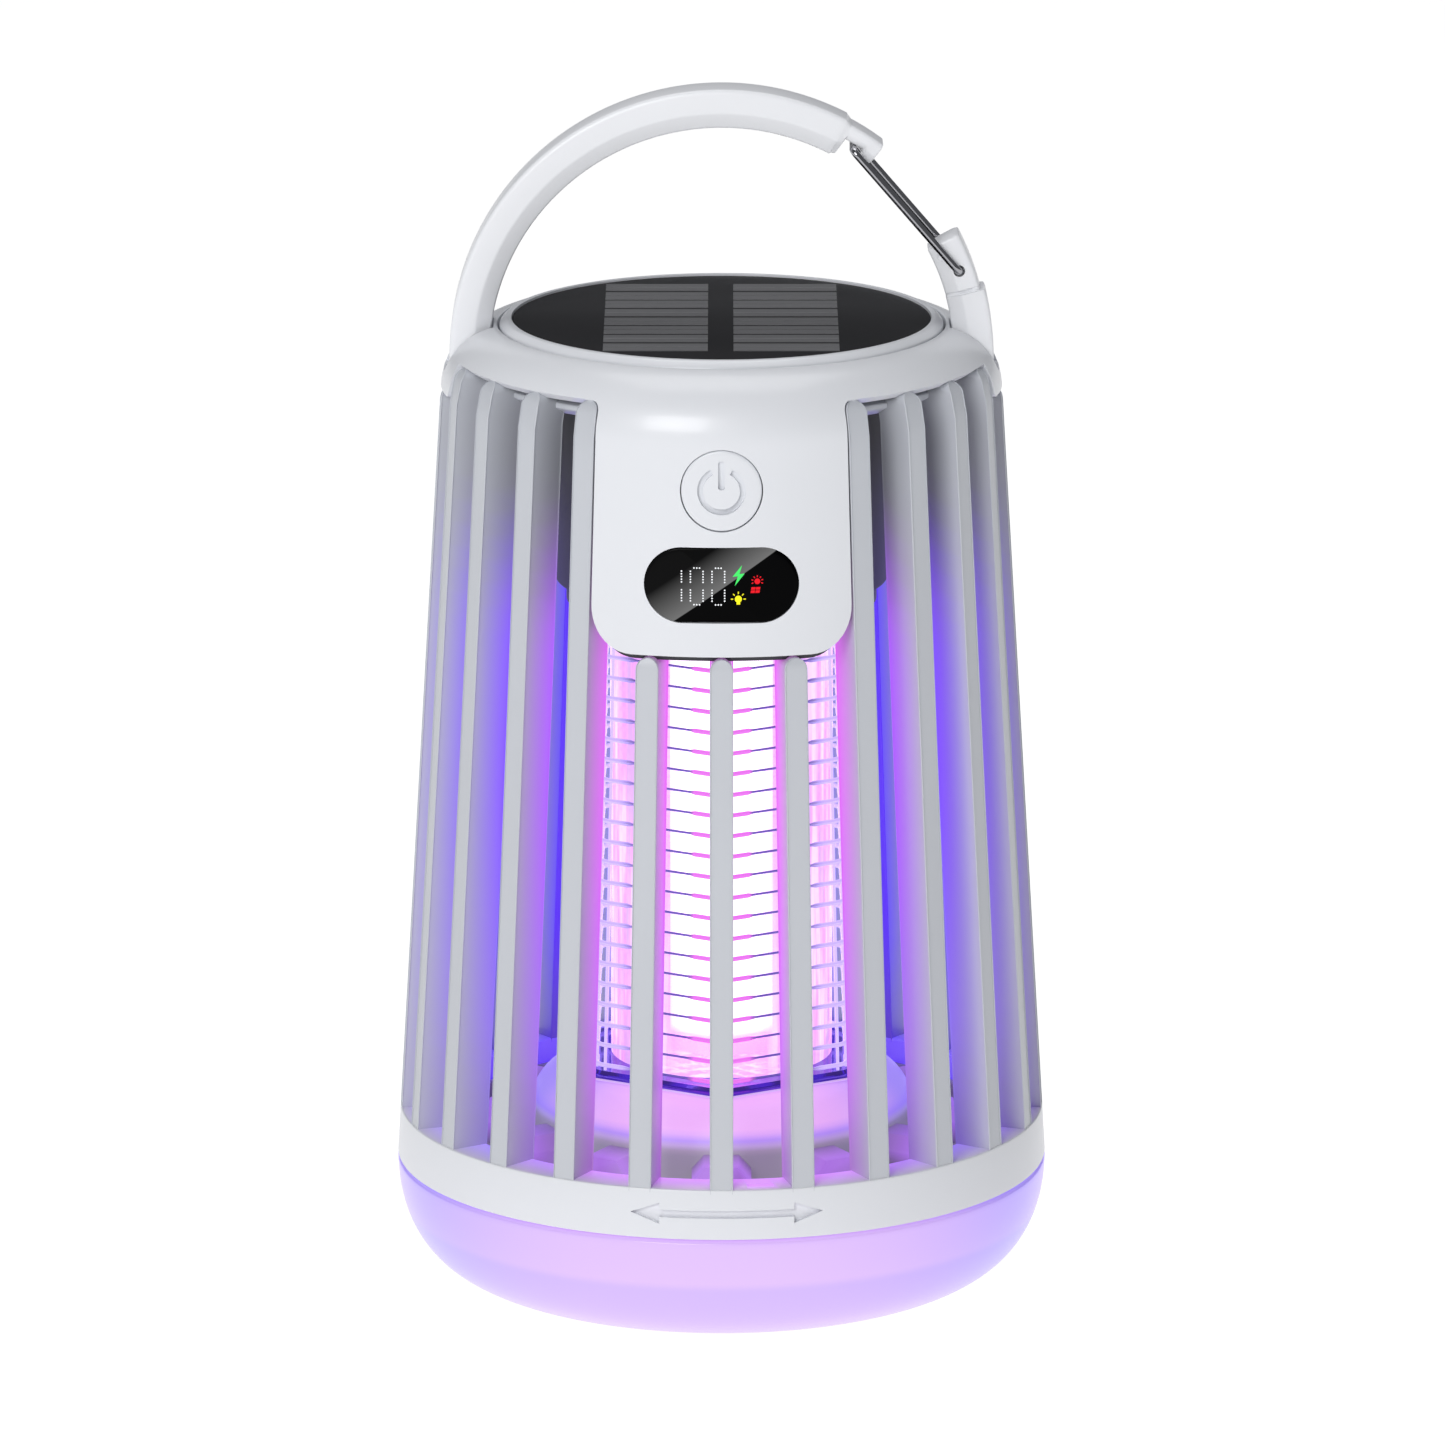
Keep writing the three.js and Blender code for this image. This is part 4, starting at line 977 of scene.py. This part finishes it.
paint(lamp, blend_hue(np.ones(3), MAGENTA, collar), 1 - 0.7 * collar)


def upright_streaks():
    """Node group: noise drawn out along Z, from coordinates multiplied by a smaller number that way."""
    group = bpy.data.node_groups.new("upright_streaks", "ShaderNodeTree")
    side = group.interface
    side.new_socket("Vector", in_out="INPUT", socket_type="NodeSocketVector")
    side.new_socket("Stretch", in_out="INPUT", socket_type="NodeSocketVector")
    side.new_socket("Detail", in_out="INPUT", socket_type="NodeSocketFloat")
    side.new_socket("Streak", in_out="OUTPUT", socket_type="NodeSocketFloat")
    tree, link = group.nodes, group.links.new
    given, made = tree.new("NodeGroupInput"), tree.new("NodeGroupOutput")
    drawn, noise = tree.new("ShaderNodeVectorMath"), tree.new("ShaderNodeTexNoise")
    drawn.operation = "MULTIPLY"
    noise.inputs["Scale"].default_value = 1.0
    link(given.outputs["Vector"], drawn.inputs[0])
    link(given.outputs["Stretch"], drawn.inputs[1])
    link(drawn.outputs[0], noise.inputs["Vector"])
    link(given.outputs["Detail"], noise.inputs["Detail"])
    link(noise.outputs["Fac"], made.inputs["Streak"])
    return group


streak_group = upright_streaks()


def add_streaks(material, stretch, detail):
    """Places the streak group in a material, on Object coordinates, and returns its output."""
    tree = material.node_tree.nodes
    place, streaks = tree.new("ShaderNodeTexCoord"), tree.new("ShaderNodeGroup")
    streaks.node_tree = streak_group
    streaks.inputs["Stretch"].default_value = stretch
    streaks.inputs["Detail"].default_value = detail
    material.node_tree.links.new(place.outputs["Object"], streaks.inputs["Vector"])
    return streaks.outputs["Streak"]


def lamp_material():
    """Nearly white light with faint pink bands, from noise stretched along the column."""
    material = plastic("uv_cover", (0.95, 0.85, 0.98), 0.35, 0.05, 700, 0.0, 0.05)
    tree, link = material.node_tree.nodes, material.node_tree.links.new
    shader = tree["Principled BSDF"]
    streak = add_streaks(material, (260, 260, 14), 2)
    ramp = tree.new("ShaderNodeValToRGB")
    ramp.color_ramp.elements[0].position = 0.22
    ramp.color_ramp.elements[0].color = (1.0, 0.72, 0.97, 1)
    ramp.color_ramp.elements[1].position = 0.34
    ramp.color_ramp.elements[1].color = (1.0, 0.98, 1.0, 1)
    link(streak, ramp.inputs["Fac"])
    both, light = tree.new("ShaderNodeMix"), tree.new("ShaderNodeAttribute")
    light.attribute_name = "lamp_light"
    both.data_type, both.blend_type = "RGBA", "MULTIPLY"
    both.inputs["Factor"].default_value = 1.0
    link(ramp.outputs["Color"], both.inputs[6])
    link(light.outputs["Color"], both.inputs[7])
    link(both.outputs[2], shader.inputs["Emission Color"])
    shader.inputs["Emission Strength"].default_value = 1.3
    return material


finish_piece(lamp, lamp_material(), "housing", "led_white", "uv_lamp")

sleeve_low, sleeve_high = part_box("lamp_sleeve")
SLEEVE_R = 21.8 * MM
SLEEVE_WALL = 1.2 * MM
sleeve_bore = SLEEVE_R - SLEEVE_WALL
sleeve_floor = sleeve_low.z + SLEEVE_WALL
sleeve_profile = [(0, sleeve_low.z), (SLEEVE_R, sleeve_low.z), (SLEEVE_R, sleeve_high.z),
                  (sleeve_bore, sleeve_high.z), (sleeve_bore, sleeve_floor), (0, sleeve_floor)]
sleeve = build("clear_sleeve", *turned(sleeve_profile, 96))


def sleeve_material():
    """Clear plastic: see-through where faced squarely, with upright streaks of pink and violet light."""
    material = plastic("sleeve_clear", (0.30, 0.20, 0.34), 0.08, 0.04, 500, 0.0, 0.05)
    tree, link = material.node_tree.nodes, material.node_tree.links.new
    shader = tree["Principled BSDF"]
    streak = add_streaks(material, (420, 420, 30), 3)
    cover = tree.new("ShaderNodeMapRange")
    cover.inputs["From Min"].default_value = 0.42
    cover.inputs["From Max"].default_value = 0.72
    cover.inputs["To Min"].default_value = 0.82
    cover.inputs["To Max"].default_value = 1.0
    link(streak, cover.inputs["Value"])
    slant, rise = tree.new("ShaderNodeLayerWeight"), tree.new("ShaderNodeMapRange")
    slant.inputs["Blend"].default_value = 0.5
    rise.inputs["From Min"].default_value = 0.09
    rise.inputs["From Max"].default_value = 0.22
    rise.inputs["To Min"].default_value = 0.04
    rise.inputs["To Max"].default_value = 1.0
    link(slant.outputs["Facing"], rise.inputs["Value"])
    both = tree.new("ShaderNodeMath")
    both.operation = "MULTIPLY"
    link(cover.outputs["Result"], both.inputs[0])
    link(rise.outputs["Result"], both.inputs[1])
    link(both.outputs[0], shader.inputs["Alpha"])
    ramp = tree.new("ShaderNodeValToRGB")
    ramp.color_ramp.elements[0].position = 0.35
    ramp.color_ramp.elements[0].color = (0.62, 0.36, 0.86, 1)
    ramp.color_ramp.elements[1].position = 0.60
    ramp.color_ramp.elements[1].color = (0.95, 0.72, 0.98, 1)
    middle = ramp.color_ramp.elements.new(0.46)
    middle.color = (0.88, 0.34, 0.84, 1)
    link(streak, ramp.inputs["Fac"])
    link(ramp.outputs["Color"], shader.inputs["Emission Color"])
    shader.inputs["Emission Strength"].default_value = 0.9
    return material


finish_piece(sleeve, sleeve_material(), "housing", "lamp_clear", "lamp_sleeve")


# ---- Insect tray ----
# Grey tray clipped into the base. Its domed pedestal stands under the grid, and a dozen lugs round the foot
# of the pedestal stiffen it. The lamp's light is painted on: pink on the dome and violet on the lugs, with
# painted shade on both.
TRAY_FLOOR = 27.0
FLANGE_FOOT, FLANGE_FACE = 22.3, 24.2
WALL_TOP = 30.0
DOME_TOP = 42.6
PEDESTAL_R = 38.0
tray_rows = [
    # radius, height and rounding of each corner, in millimetres: flange and wall, floor, dome, underside
    (61.2, FLANGE_FOOT, 0.3), (61.2, FLANGE_FACE, 0.3), (55.0, FLANGE_FACE, 0.3),
    (55.0, WALL_TOP, 0.6), (53.4, WALL_TOP, 0.6), (53.4, TRAY_FLOOR, 0.5), (PEDESTAL_R, TRAY_FLOOR, 0.8),
    (PEDESTAL_R, 34.6, 2.0), (36.4, 38.6, 2.4), (33.2, 41.6, 2.4), (29.5, DOME_TOP, 2.0),
    (8.0, DOME_TOP, 0.6), (8.0, DOME_TOP - 2, 0.5), (29.5, DOME_TOP - 2, 0.8), (PEDESTAL_R - 2, 35.0, 0.8),
    (PEDESTAL_R - 2, TRAY_FLOOR - 2, 0.5), (53.0, TRAY_FLOOR - 2, 0.5), (53.0, FLANGE_FOOT, 0.3),
]
tray_table = np.array(tray_rows) * MM
tray_parts = [turned(rounded(tray_table[:, :2], tray_table[:, 2]), 192)]
LUG_COUNT = 12
LUG_FOOT = 26.5
LUG_OUTLINE = [(-5.8, LUG_FOOT), (5.8, LUG_FOOT), (5.8, 31.2), (3.4, 34.0), (-3.4, 34.0), (-5.8, 31.2)]
LUG_LEAN = 0.12
DOME_PINK = np.array([0.70, 0.34, 0.76])
DOME_VIOLET = np.array([0.22, 0.13, 0.80])
LUG_VIOLET = np.array([0.36, 0.13, 0.80])


def lug(turn):
    """Upright plate with its two top corners cut off, leaning back into the pedestal."""
    outline = rounded(LUG_OUTLINE, 0.25, 4)
    rise = outline[:, 1] - LUG_FOOT
    rows = []
    for reach, scale in ((36.5, 1.0), (46.0, 1.0), (46.8, 0.93)):
        z = LUG_FOOT + rise * (0.5 + scale / 2)
        rows.append(np.column_stack([outline[:, 0] * scale, LUG_LEAN * rise - reach, z]))
    x, y, z = np.moveaxis(np.stack(rows) * MM, -1, 0)
    c, s = math.cos(turn), math.sin(turn)
    return net(np.stack([x * c - y * s, x * s + y * c, z], -1), wrap_columns=True)


caps, start = [], len(tray_parts[0][0])
for i in range(LUG_COUNT):
    part = lug(2 * math.pi * i / LUG_COUNT)
    tray_parts.append(part)
    n = len(part[0]) // 3
    caps += [range(start, start + n), range(start + 2 * n, start + 3 * n)]
    start += 3 * n
points, quads = gather(tray_parts)
tray = build("insect_tray", points, quads, caps, 40)
xyz = places(tray)
r = np.hypot(xyz[:, 0], xyz[:, 1])
# Painted lamp light: pink on the front of the dome, lilac round it, violet at its lower edge and on the lugs,
# with painted shade darkening the plastic under it.
dome = smoothstep(34.0 * MM, 37.0 * MM, xyz[:, 2])
lugs = smoothstep(38.3 * MM, 40 * MM, r) * smoothstep(26.6 * MM, 29 * MM, xyz[:, 2]) * (r < 50 * MM) * 0.8
front = smoothstep(0.2, 0.95, -xyz[:, 1] / np.maximum(r, 1e-6))
edge = smoothstep(38.5 * MM, 35.5 * MM, xyz[:, 2]) * dome
glow_and_mottle_tint = blend_hue(LILAC, DOME_PINK, front)
glow_and_mottle_tint = blend_hue(glow_and_mottle_tint, DOME_VIOLET, edge)
glow_and_mottle_tint = blend_hue(glow_and_mottle_tint, LUG_VIOLET, lugs)
# Painted light: a faint grey glow lifts the shaded wall at the pedestal's foot.
wall = (r > 37 * MM) * (r < 40 * MM) * (xyz[:, 2] < 36 * MM) * 0.10
paint(tray, glow_and_mottle_tint * (dome + lugs)[:, None] + wall[:, None], 1 - 0.35 * dome - 0.75 * lugs)
tray_abs = plastic("tray_abs", (0.40, 0.40, 0.42), 0.4, 0.1, 1200, 0.03, 0.05, glow=1.0)
finish_piece(tray, tray_abs, "base", "fin_grey", "base_tray")


# ---- Base lens ----
# Deep dish of milky plastic that the object stands on. The light of the ring of diodes inside is painted into
# it
# as a glow: lilac, pinker at the front, a shade deeper below its middle and dimmer at its foot. It twists off
# the cage with the tray.
LENS_FOOT_R = 36.1 * MM
LENS_ROUND_R, LENS_ROUND_Z = 2.9, 2.22
LENS_WALL = 2.2 * MM
UPPER_SIDE, UPPER_FRONT = np.array([0.22, 0.15, 0.62]), np.array([0.45, 0.26, 0.60])
LOWER_SIDE, LOWER_FRONT = np.array([0.17, 0.13, 0.60]), np.array([0.34, 0.20, 0.62])


def lens_curve(steps, inset):
    """Superellipse: radius grows with sin(t)^(2/2.9), height with 1 - cos(t)^(2/2.22), t to 90 degrees."""
    t = np.linspace(0, np.pi / 2, steps)
    r = LENS_FOOT_R + (SEAM_R - inset - LENS_FOOT_R) * np.sin(t) ** (2 / LENS_ROUND_R)
    z = SEAM - (SEAM - inset) * np.clip(np.cos(t), 0, 1) ** (2 / LENS_ROUND_Z)
    return np.column_stack([r, np.minimum(z, SEAM - 0.3 * MM)])


lip = [(SEAM_R - 0.1 * MM, SEAM - 0.75 * MM), (SEAM_R - 0.6 * MM, SEAM - 0.45 * MM)]
bowl, hollow = lens_curve(56, 0)[:-1], lens_curve(24, LENS_WALL)[::-1]
lens_profile = np.vstack([[(0, 0)], bowl, lip, hollow, [(0, LENS_WALL)]])
lens = build("base_dish", *turned(lens_profile, 240), smooth_angle=50)
xyz = places(lens)
r = np.hypot(xyz[:, 0], xyz[:, 1])
# Painted glow of the diodes: pinker at the front, deeper below the middle, and painted shade towards the
# foot.
front = smoothstep(0.35, 1.0, -xyz[:, 1] / np.maximum(r, 1e-6))
shaded = smoothstep(15.5 * MM, 13.5 * MM, xyz[:, 2])
upper = blend_hue(UPPER_SIDE, UPPER_FRONT, front)
lower = blend_hue(LOWER_SIDE, LOWER_FRONT, front)
dimmed = 1 - 0.35 * smoothstep(5 * MM, 1 * MM, xyz[:, 2])
paint(lens, blend_hue(upper, lower, shaded) * dimmed[:, None])
milky = plastic("milky_lens", (0.31, 0.27, 0.42), 0.32, 0.06, 900, 0.01, 0.05, coat=0.25, glow=1.0)
finish_piece(lens, milky, "base", "lens_lilac", "base_lens")


# ---- Handle ----
# Bow of white ABS rising from a slot at the head's left over the panel to a nose, and a stub in the slot at
# its right. The bow's front and back edges are bevelled towards the inside.
HANDLE_Z = 185 * MM
HANDLE_OUT = 52.8 * MM
HANDLE_IN = 45 * MM
HANDLE_HALF = 4.5 * MM


def bow_section(outer, inner, half, bevel=1.7 * MM):
    """Section of the bow as (radius, y): flat cheeks on the outer 60 %, bevels towards the inner face."""
    turn_in = inner + (outer - inner) * 0.40
    corners = [(outer, half), (turn_in, half), (inner, half - bevel), (inner, bevel - half),
               (turn_in, -half), (outer, -half)]
    return rounded(corners, [1.0 * MM, 0.35 * MM, 0.5 * MM, 0.5 * MM, 0.35 * MM, 1.0 * MM], 5)


def bow(name, rows):
    """Sections carried round the handle's centre; each row is angle, outer and inner radius, half, bevel."""
    sheets = []
    for angle, outer, inner, half, bevel in rows:
        section = bow_section(outer, inner, half, bevel)
        c, s = math.cos(math.radians(angle)), math.sin(math.radians(angle))
        sheets.append(np.column_stack([section[:, 0] * c, section[:, 1], HANDLE_Z + section[:, 0] * s]))
    points, quads = net(np.stack(sheets), wrap_columns=True)
    n = len(sheets[0])
    caps = [range(n), range((len(rows) - 1) * n, len(rows) * n)]
    return build(name, points, quads, caps, 32)


def edge_rounding(angle, step, outer, inner, half, bevel):
    """Rows that close an end with a small radius, working back from the end's angle."""
    rows = []
    for k in (0.0, 0.35, 0.7, 1.0):
        off = 0.5 * MM * (1 - math.sqrt(1 - (1 - k) ** 2))
        rows.append((angle + step * k, outer - off, inner + off, half - off, bevel))
    return rows


full = (HANDLE_OUT, HANDLE_IN, HANDLE_HALF, 1.7 * MM)
slim = (HANDLE_OUT - 0.6 * MM, 49.1 * MM, HANDLE_HALF - 0.5 * MM, 0.5 * MM)
nose = (HANDLE_OUT - 0.6 * MM, 47.6 * MM, HANDLE_HALF - 0.5 * MM, 0.6 * MM)
arch_rows = edge_rounding(182.2, -0.6, *full)
arch_rows += [(a, *full) for a in np.linspace(180, 62.6, 96)]
arch_rows += [(62.3, HANDLE_OUT - 0.2 * MM, HANDLE_IN + 0.3 * MM, HANDLE_HALF - 0.1 * MM, 1.7 * MM)]
arch_rows += [(61.3, HANDLE_OUT - 0.6 * MM, HANDLE_IN + 0.6 * MM, HANDLE_HALF - 0.5 * MM, 1.5 * MM)]
arch_rows += [(a, *slim) for a in np.linspace(60.9, 56.2, 8)]
arch_rows += [(a, *nose) for a in np.linspace(55.6, 53.6, 5)]
arch_rows += edge_rounding(53.0, 0.55, *nose)[::-1]
arch = bow("handle_bow", arch_rows)
handle_abs = plastic("handle_abs", (0.86, 0.87, 0.90), 0.36, 0.08, 1300, 0.02, 0.03, coat=0.1)
finish_piece(arch, handle_abs, "housing", "shell_white", "handle_arch")

STUB_OUT = 51.9 * MM
STUB_IN = HANDLE_IN + 0.1 * MM
post = (STUB_OUT, STUB_IN, HANDLE_HALF - 0.1 * MM, 1.3 * MM)
stub_rows = edge_rounding(-2.2, 0.6, *full)
stub_rows += [(a, *full) for a in np.linspace(-1.2, 14.2, 16)]
stub_rows += [(14.9, HANDLE_OUT - 0.15 * MM, HANDLE_IN, HANDLE_HALF - 0.1 * MM, 1.7 * MM)]
stub_rows += [(a, STUB_OUT, STUB_IN, HANDLE_HALF - 0.5 * MM, 1.6 * MM) for a in (15.0, 15.9)]
stub_rows += [(a, *post) for a in np.linspace(16.1, 27.4, 12)]
stub_rows += edge_rounding(28.2, -0.6, *post)[::-1]
stub = bow("handle_post", stub_rows)
GATE_PIVOT = np.array([46.0, 202.2]) * MM
PIVOT_HOLE_R = 1.15 * MM
holes = [build("hole_cutter", *prism(circle(PIVOT_HOLE_R, GATE_PIVOT[1], GATE_PIVOT[0], 28), y0, y1))
         for y0, y1 in ((-6 * MM, -2 * MM), (2 * MM, 6 * MM))]
holes.append(build("hook_cutter", *prism(circle(0.8 * MM, 204.8 * MM, 42.6 * MM, 20), -6 * MM, -3.4 * MM)))
turn = np.radians([15.2, 15.2, 15.9, 15.9])
radius = np.array([44, 50.4, 50.4, 44]) * MM
groove = np.column_stack([radius * np.cos(turn), HANDLE_Z + radius * np.sin(turn)])
holes += [build("groove_cutter", *prism(groove, y0, y1))
          for y0, y1 in ((-6 * MM, -3.5 * MM), (3.5 * MM, 6 * MM))]
carve(stub, holes, smooth_angle=32)
finish_piece(stub, handle_abs, "housing", "shell_white", "handle_stub")


# ---- Wire gate ----
# Loop of bright 1.5 mm spring wire. Its two ends are turned into holes in the stub, and its cross bar
# springs up into the notch behind the nose.
GATE_TIP = np.array([25.4, 226.1]) * MM
GATE_HALF = 5.6 * MM
GATE_WIRE_R = 0.75 * MM
END_Y = 2.4 * MM
corners = np.array([
    (GATE_PIVOT[0], END_Y, GATE_PIVOT[1]),
    (GATE_PIVOT[0], GATE_HALF, GATE_PIVOT[1]),
    (GATE_TIP[0], GATE_HALF, GATE_TIP[1]),
    (GATE_TIP[0], -GATE_HALF, GATE_TIP[1]),
    (GATE_PIVOT[0], -GATE_HALF, GATE_PIVOT[1]),
    (GATE_PIVOT[0], -END_Y, GATE_PIVOT[1]),
])


def bent(points, bend, steps=8):
    """Open path through the points, with each inner corner replaced by a quadratic curve."""
    route = [points[:1]]
    t = np.linspace(0, 1, steps)[:, None]
    for a, b, c in zip(points[:-2], points[1:-1], points[2:]):
        start = b + (a - b) * min(bend / np.linalg.norm(a - b), 0.49)
        end = b + (c - b) * min(bend / np.linalg.norm(c - b), 0.49)
        route.append((1 - t) ** 2 * start + 2 * t * (1 - t) * b + t ** 2 * end)
    route.append(points[-1:])
    return np.vstack(route)


def framed_tube(path, radius, sides):
    """Circle carried along a path, its side vector turned as little as possible from point to point."""
    ahead = np.gradient(path, axis=0)
    ahead /= np.linalg.norm(ahead, axis=1, keepdims=True)
    side = np.empty_like(ahead)
    side[0] = np.cross(ahead[0], [1.0, 0.3, 0.2])
    for i in range(len(path)):
        carried = side[max(i - 1, 0)]
        carried = carried - ahead[i] * carried.dot(ahead[i])
        side[i] = carried / np.linalg.norm(carried)
    top = np.cross(side, ahead)
    turn = np.linspace(0, 2 * np.pi, sides, endpoint=False)
    ring = np.cos(turn)[None, :, None] * side[:, None] + np.sin(turn)[None, :, None] * top[:, None]
    return path[:, None] + radius * ring


gate_path = bent(corners, 1.5 * MM)
gate_grid = framed_tube(gate_path, GATE_WIRE_R, 16)
points, quads = net(gate_grid, wrap_columns=True)
gate = build("gate_loop", points, quads, [range(16), range(len(points) - 16, len(points))], 50)
bright_wire = plastic("bright_wire", (0.36, 0.36, 0.38), 0.1, 0.02, 300, 0.0, 0.05, metallic=1.0)
finish_piece(gate, bright_wire, "gate", "steel", "gate_wire")


# ---- Charge port cover ----
# Soft pill-shaped flap over the charge socket in the rear apron. It is moulded in grey rubber and folds down
# about its lower edge.
flap_rows = face_rows(0.1 * MM, 1.8 * MM, 0.4 * MM, COVER[1] / 2)
flap = skin_plug("port_flap", pill(*COVER, 72), flap_rows, 1)
flap_rubber = plastic("flap_rubber", (0.55, 0.56, 0.60), 0.62, 0.1, 2200, 0.15, 0.08)
finish_piece(flap, flap_rubber, "cover", "cover_rubber", "port_cover")


# ---- Parts inside ----
# Green circuit boards, a potted transformer and switch, a wrapped battery cell, a plated socket and two
# screws. They are screwed and clipped in the drum and the base, and keep their CAD shapes.
board_mask = plastic("solder_mask", (0.03, 0.16, 0.08), 0.35, 0.1, 900, 0.05, 0.3, coat=0.3)
potting = plastic("potting", (0.03, 0.03, 0.033), 0.55, 0.1, 800, 0.1, 0.2)
cell_wrap = plastic("cell_wrap", (0.05, 0.16, 0.42), 0.28, 0.08, 500, 0.02, 0.1, coat=0.4)
for finish, names in (
    (board_mask, ("display_board", "main_board", "light_board")),
    (potting, ("button_switch", "hv_transformer")),
    (cell_wrap, ("battery_cell",)),
    (bright_wire, ("charge_port", "plate_screw_0", "plate_screw_1")),
):
    for name in names:
        nodes[name].data.materials.clear()
        nodes[name].data.materials.append(finish)


# ---- Studio ----
# Pale floor that runs past the view, a soft key from the left front, a soft light from above and a dim sky.
def floor_material():
    """Pale matt floor that gives out some light of its own, so that it stays white."""
    material = plastic("studio_floor", (0.34, 0.34, 0.34), 0.8, 0.05, 40, 0.0, 0.01, shine=0.1)
    shader = material.node_tree.nodes["Principled BSDF"]
    shader.inputs["Emission Color"].default_value = (1, 1, 1, 1)
    shader.inputs["Emission Strength"].default_value = 0.91
    return material


FLOOR_HALF = 6.0
FLOOR_Z = -0.2 * MM
floor_corners = [(x * FLOOR_HALF, y * FLOOR_HALF, FLOOR_Z) for x, y in ((-1, -1), (1, -1), (1, 1), (-1, 1))]
floor = build("studio_floor", floor_corners, [[0, 1, 2, 3]], outward=False)
floor.data.materials.append(floor_material())


def softbox(name, place, aim, size, power):
    """Square area light at a place, turned to face a point."""
    lamp_data = bpy.data.lights.new(name, "AREA")
    lamp_data.shape, lamp_data.size, lamp_data.energy = "SQUARE", size, power
    lamp_object = bpy.data.objects.new(name, lamp_data)
    bpy.context.scene.collection.objects.link(lamp_object)
    lamp_object.location = place
    direction = np.array(aim) - np.array(place)
    yaw = math.atan2(direction[1], direction[0]) - math.pi / 2
    pitch = math.atan2(direction[2], math.hypot(direction[0], direction[1]))
    lamp_object.rotation_euler = (math.pi / 2 + pitch, 0, yaw)
    return lamp_object


softbox("key", (-0.42, -1.22, 0.75), (0, 0, 0.13), 0.6, 9.5)
softbox("top", (0.0, 0.25, 1.3), (0, 0, 0.15), 0.8, 5)

world = bpy.data.worlds.new("studio")
bpy.context.scene.world = world
world.use_nodes = True
sky = world.node_tree.nodes["Background"]
sky.inputs["Color"].default_value = (0.93, 0.95, 1.0, 1)
sky.inputs["Strength"].default_value = 0.18
bpy.context.scene.view_settings.view_transform = "Standard"

camera_data = bpy.data.cameras.new("camera")
camera_data.sensor_width = 36
camera_data.lens = 255.76
camera_data.shift_x = 1 / 1445
camera_data.clip_end = 30
camera = bpy.data.objects.new("camera", camera_data)
bpy.context.scene.collection.objects.link(camera)
CAMERA_DROP = 14.05
camera.location = (0, -1.952, 0.5996)
camera.rotation_euler = (math.radians(90 - CAMERA_DROP), 0, 0)
bpy.context.scene.camera = camera
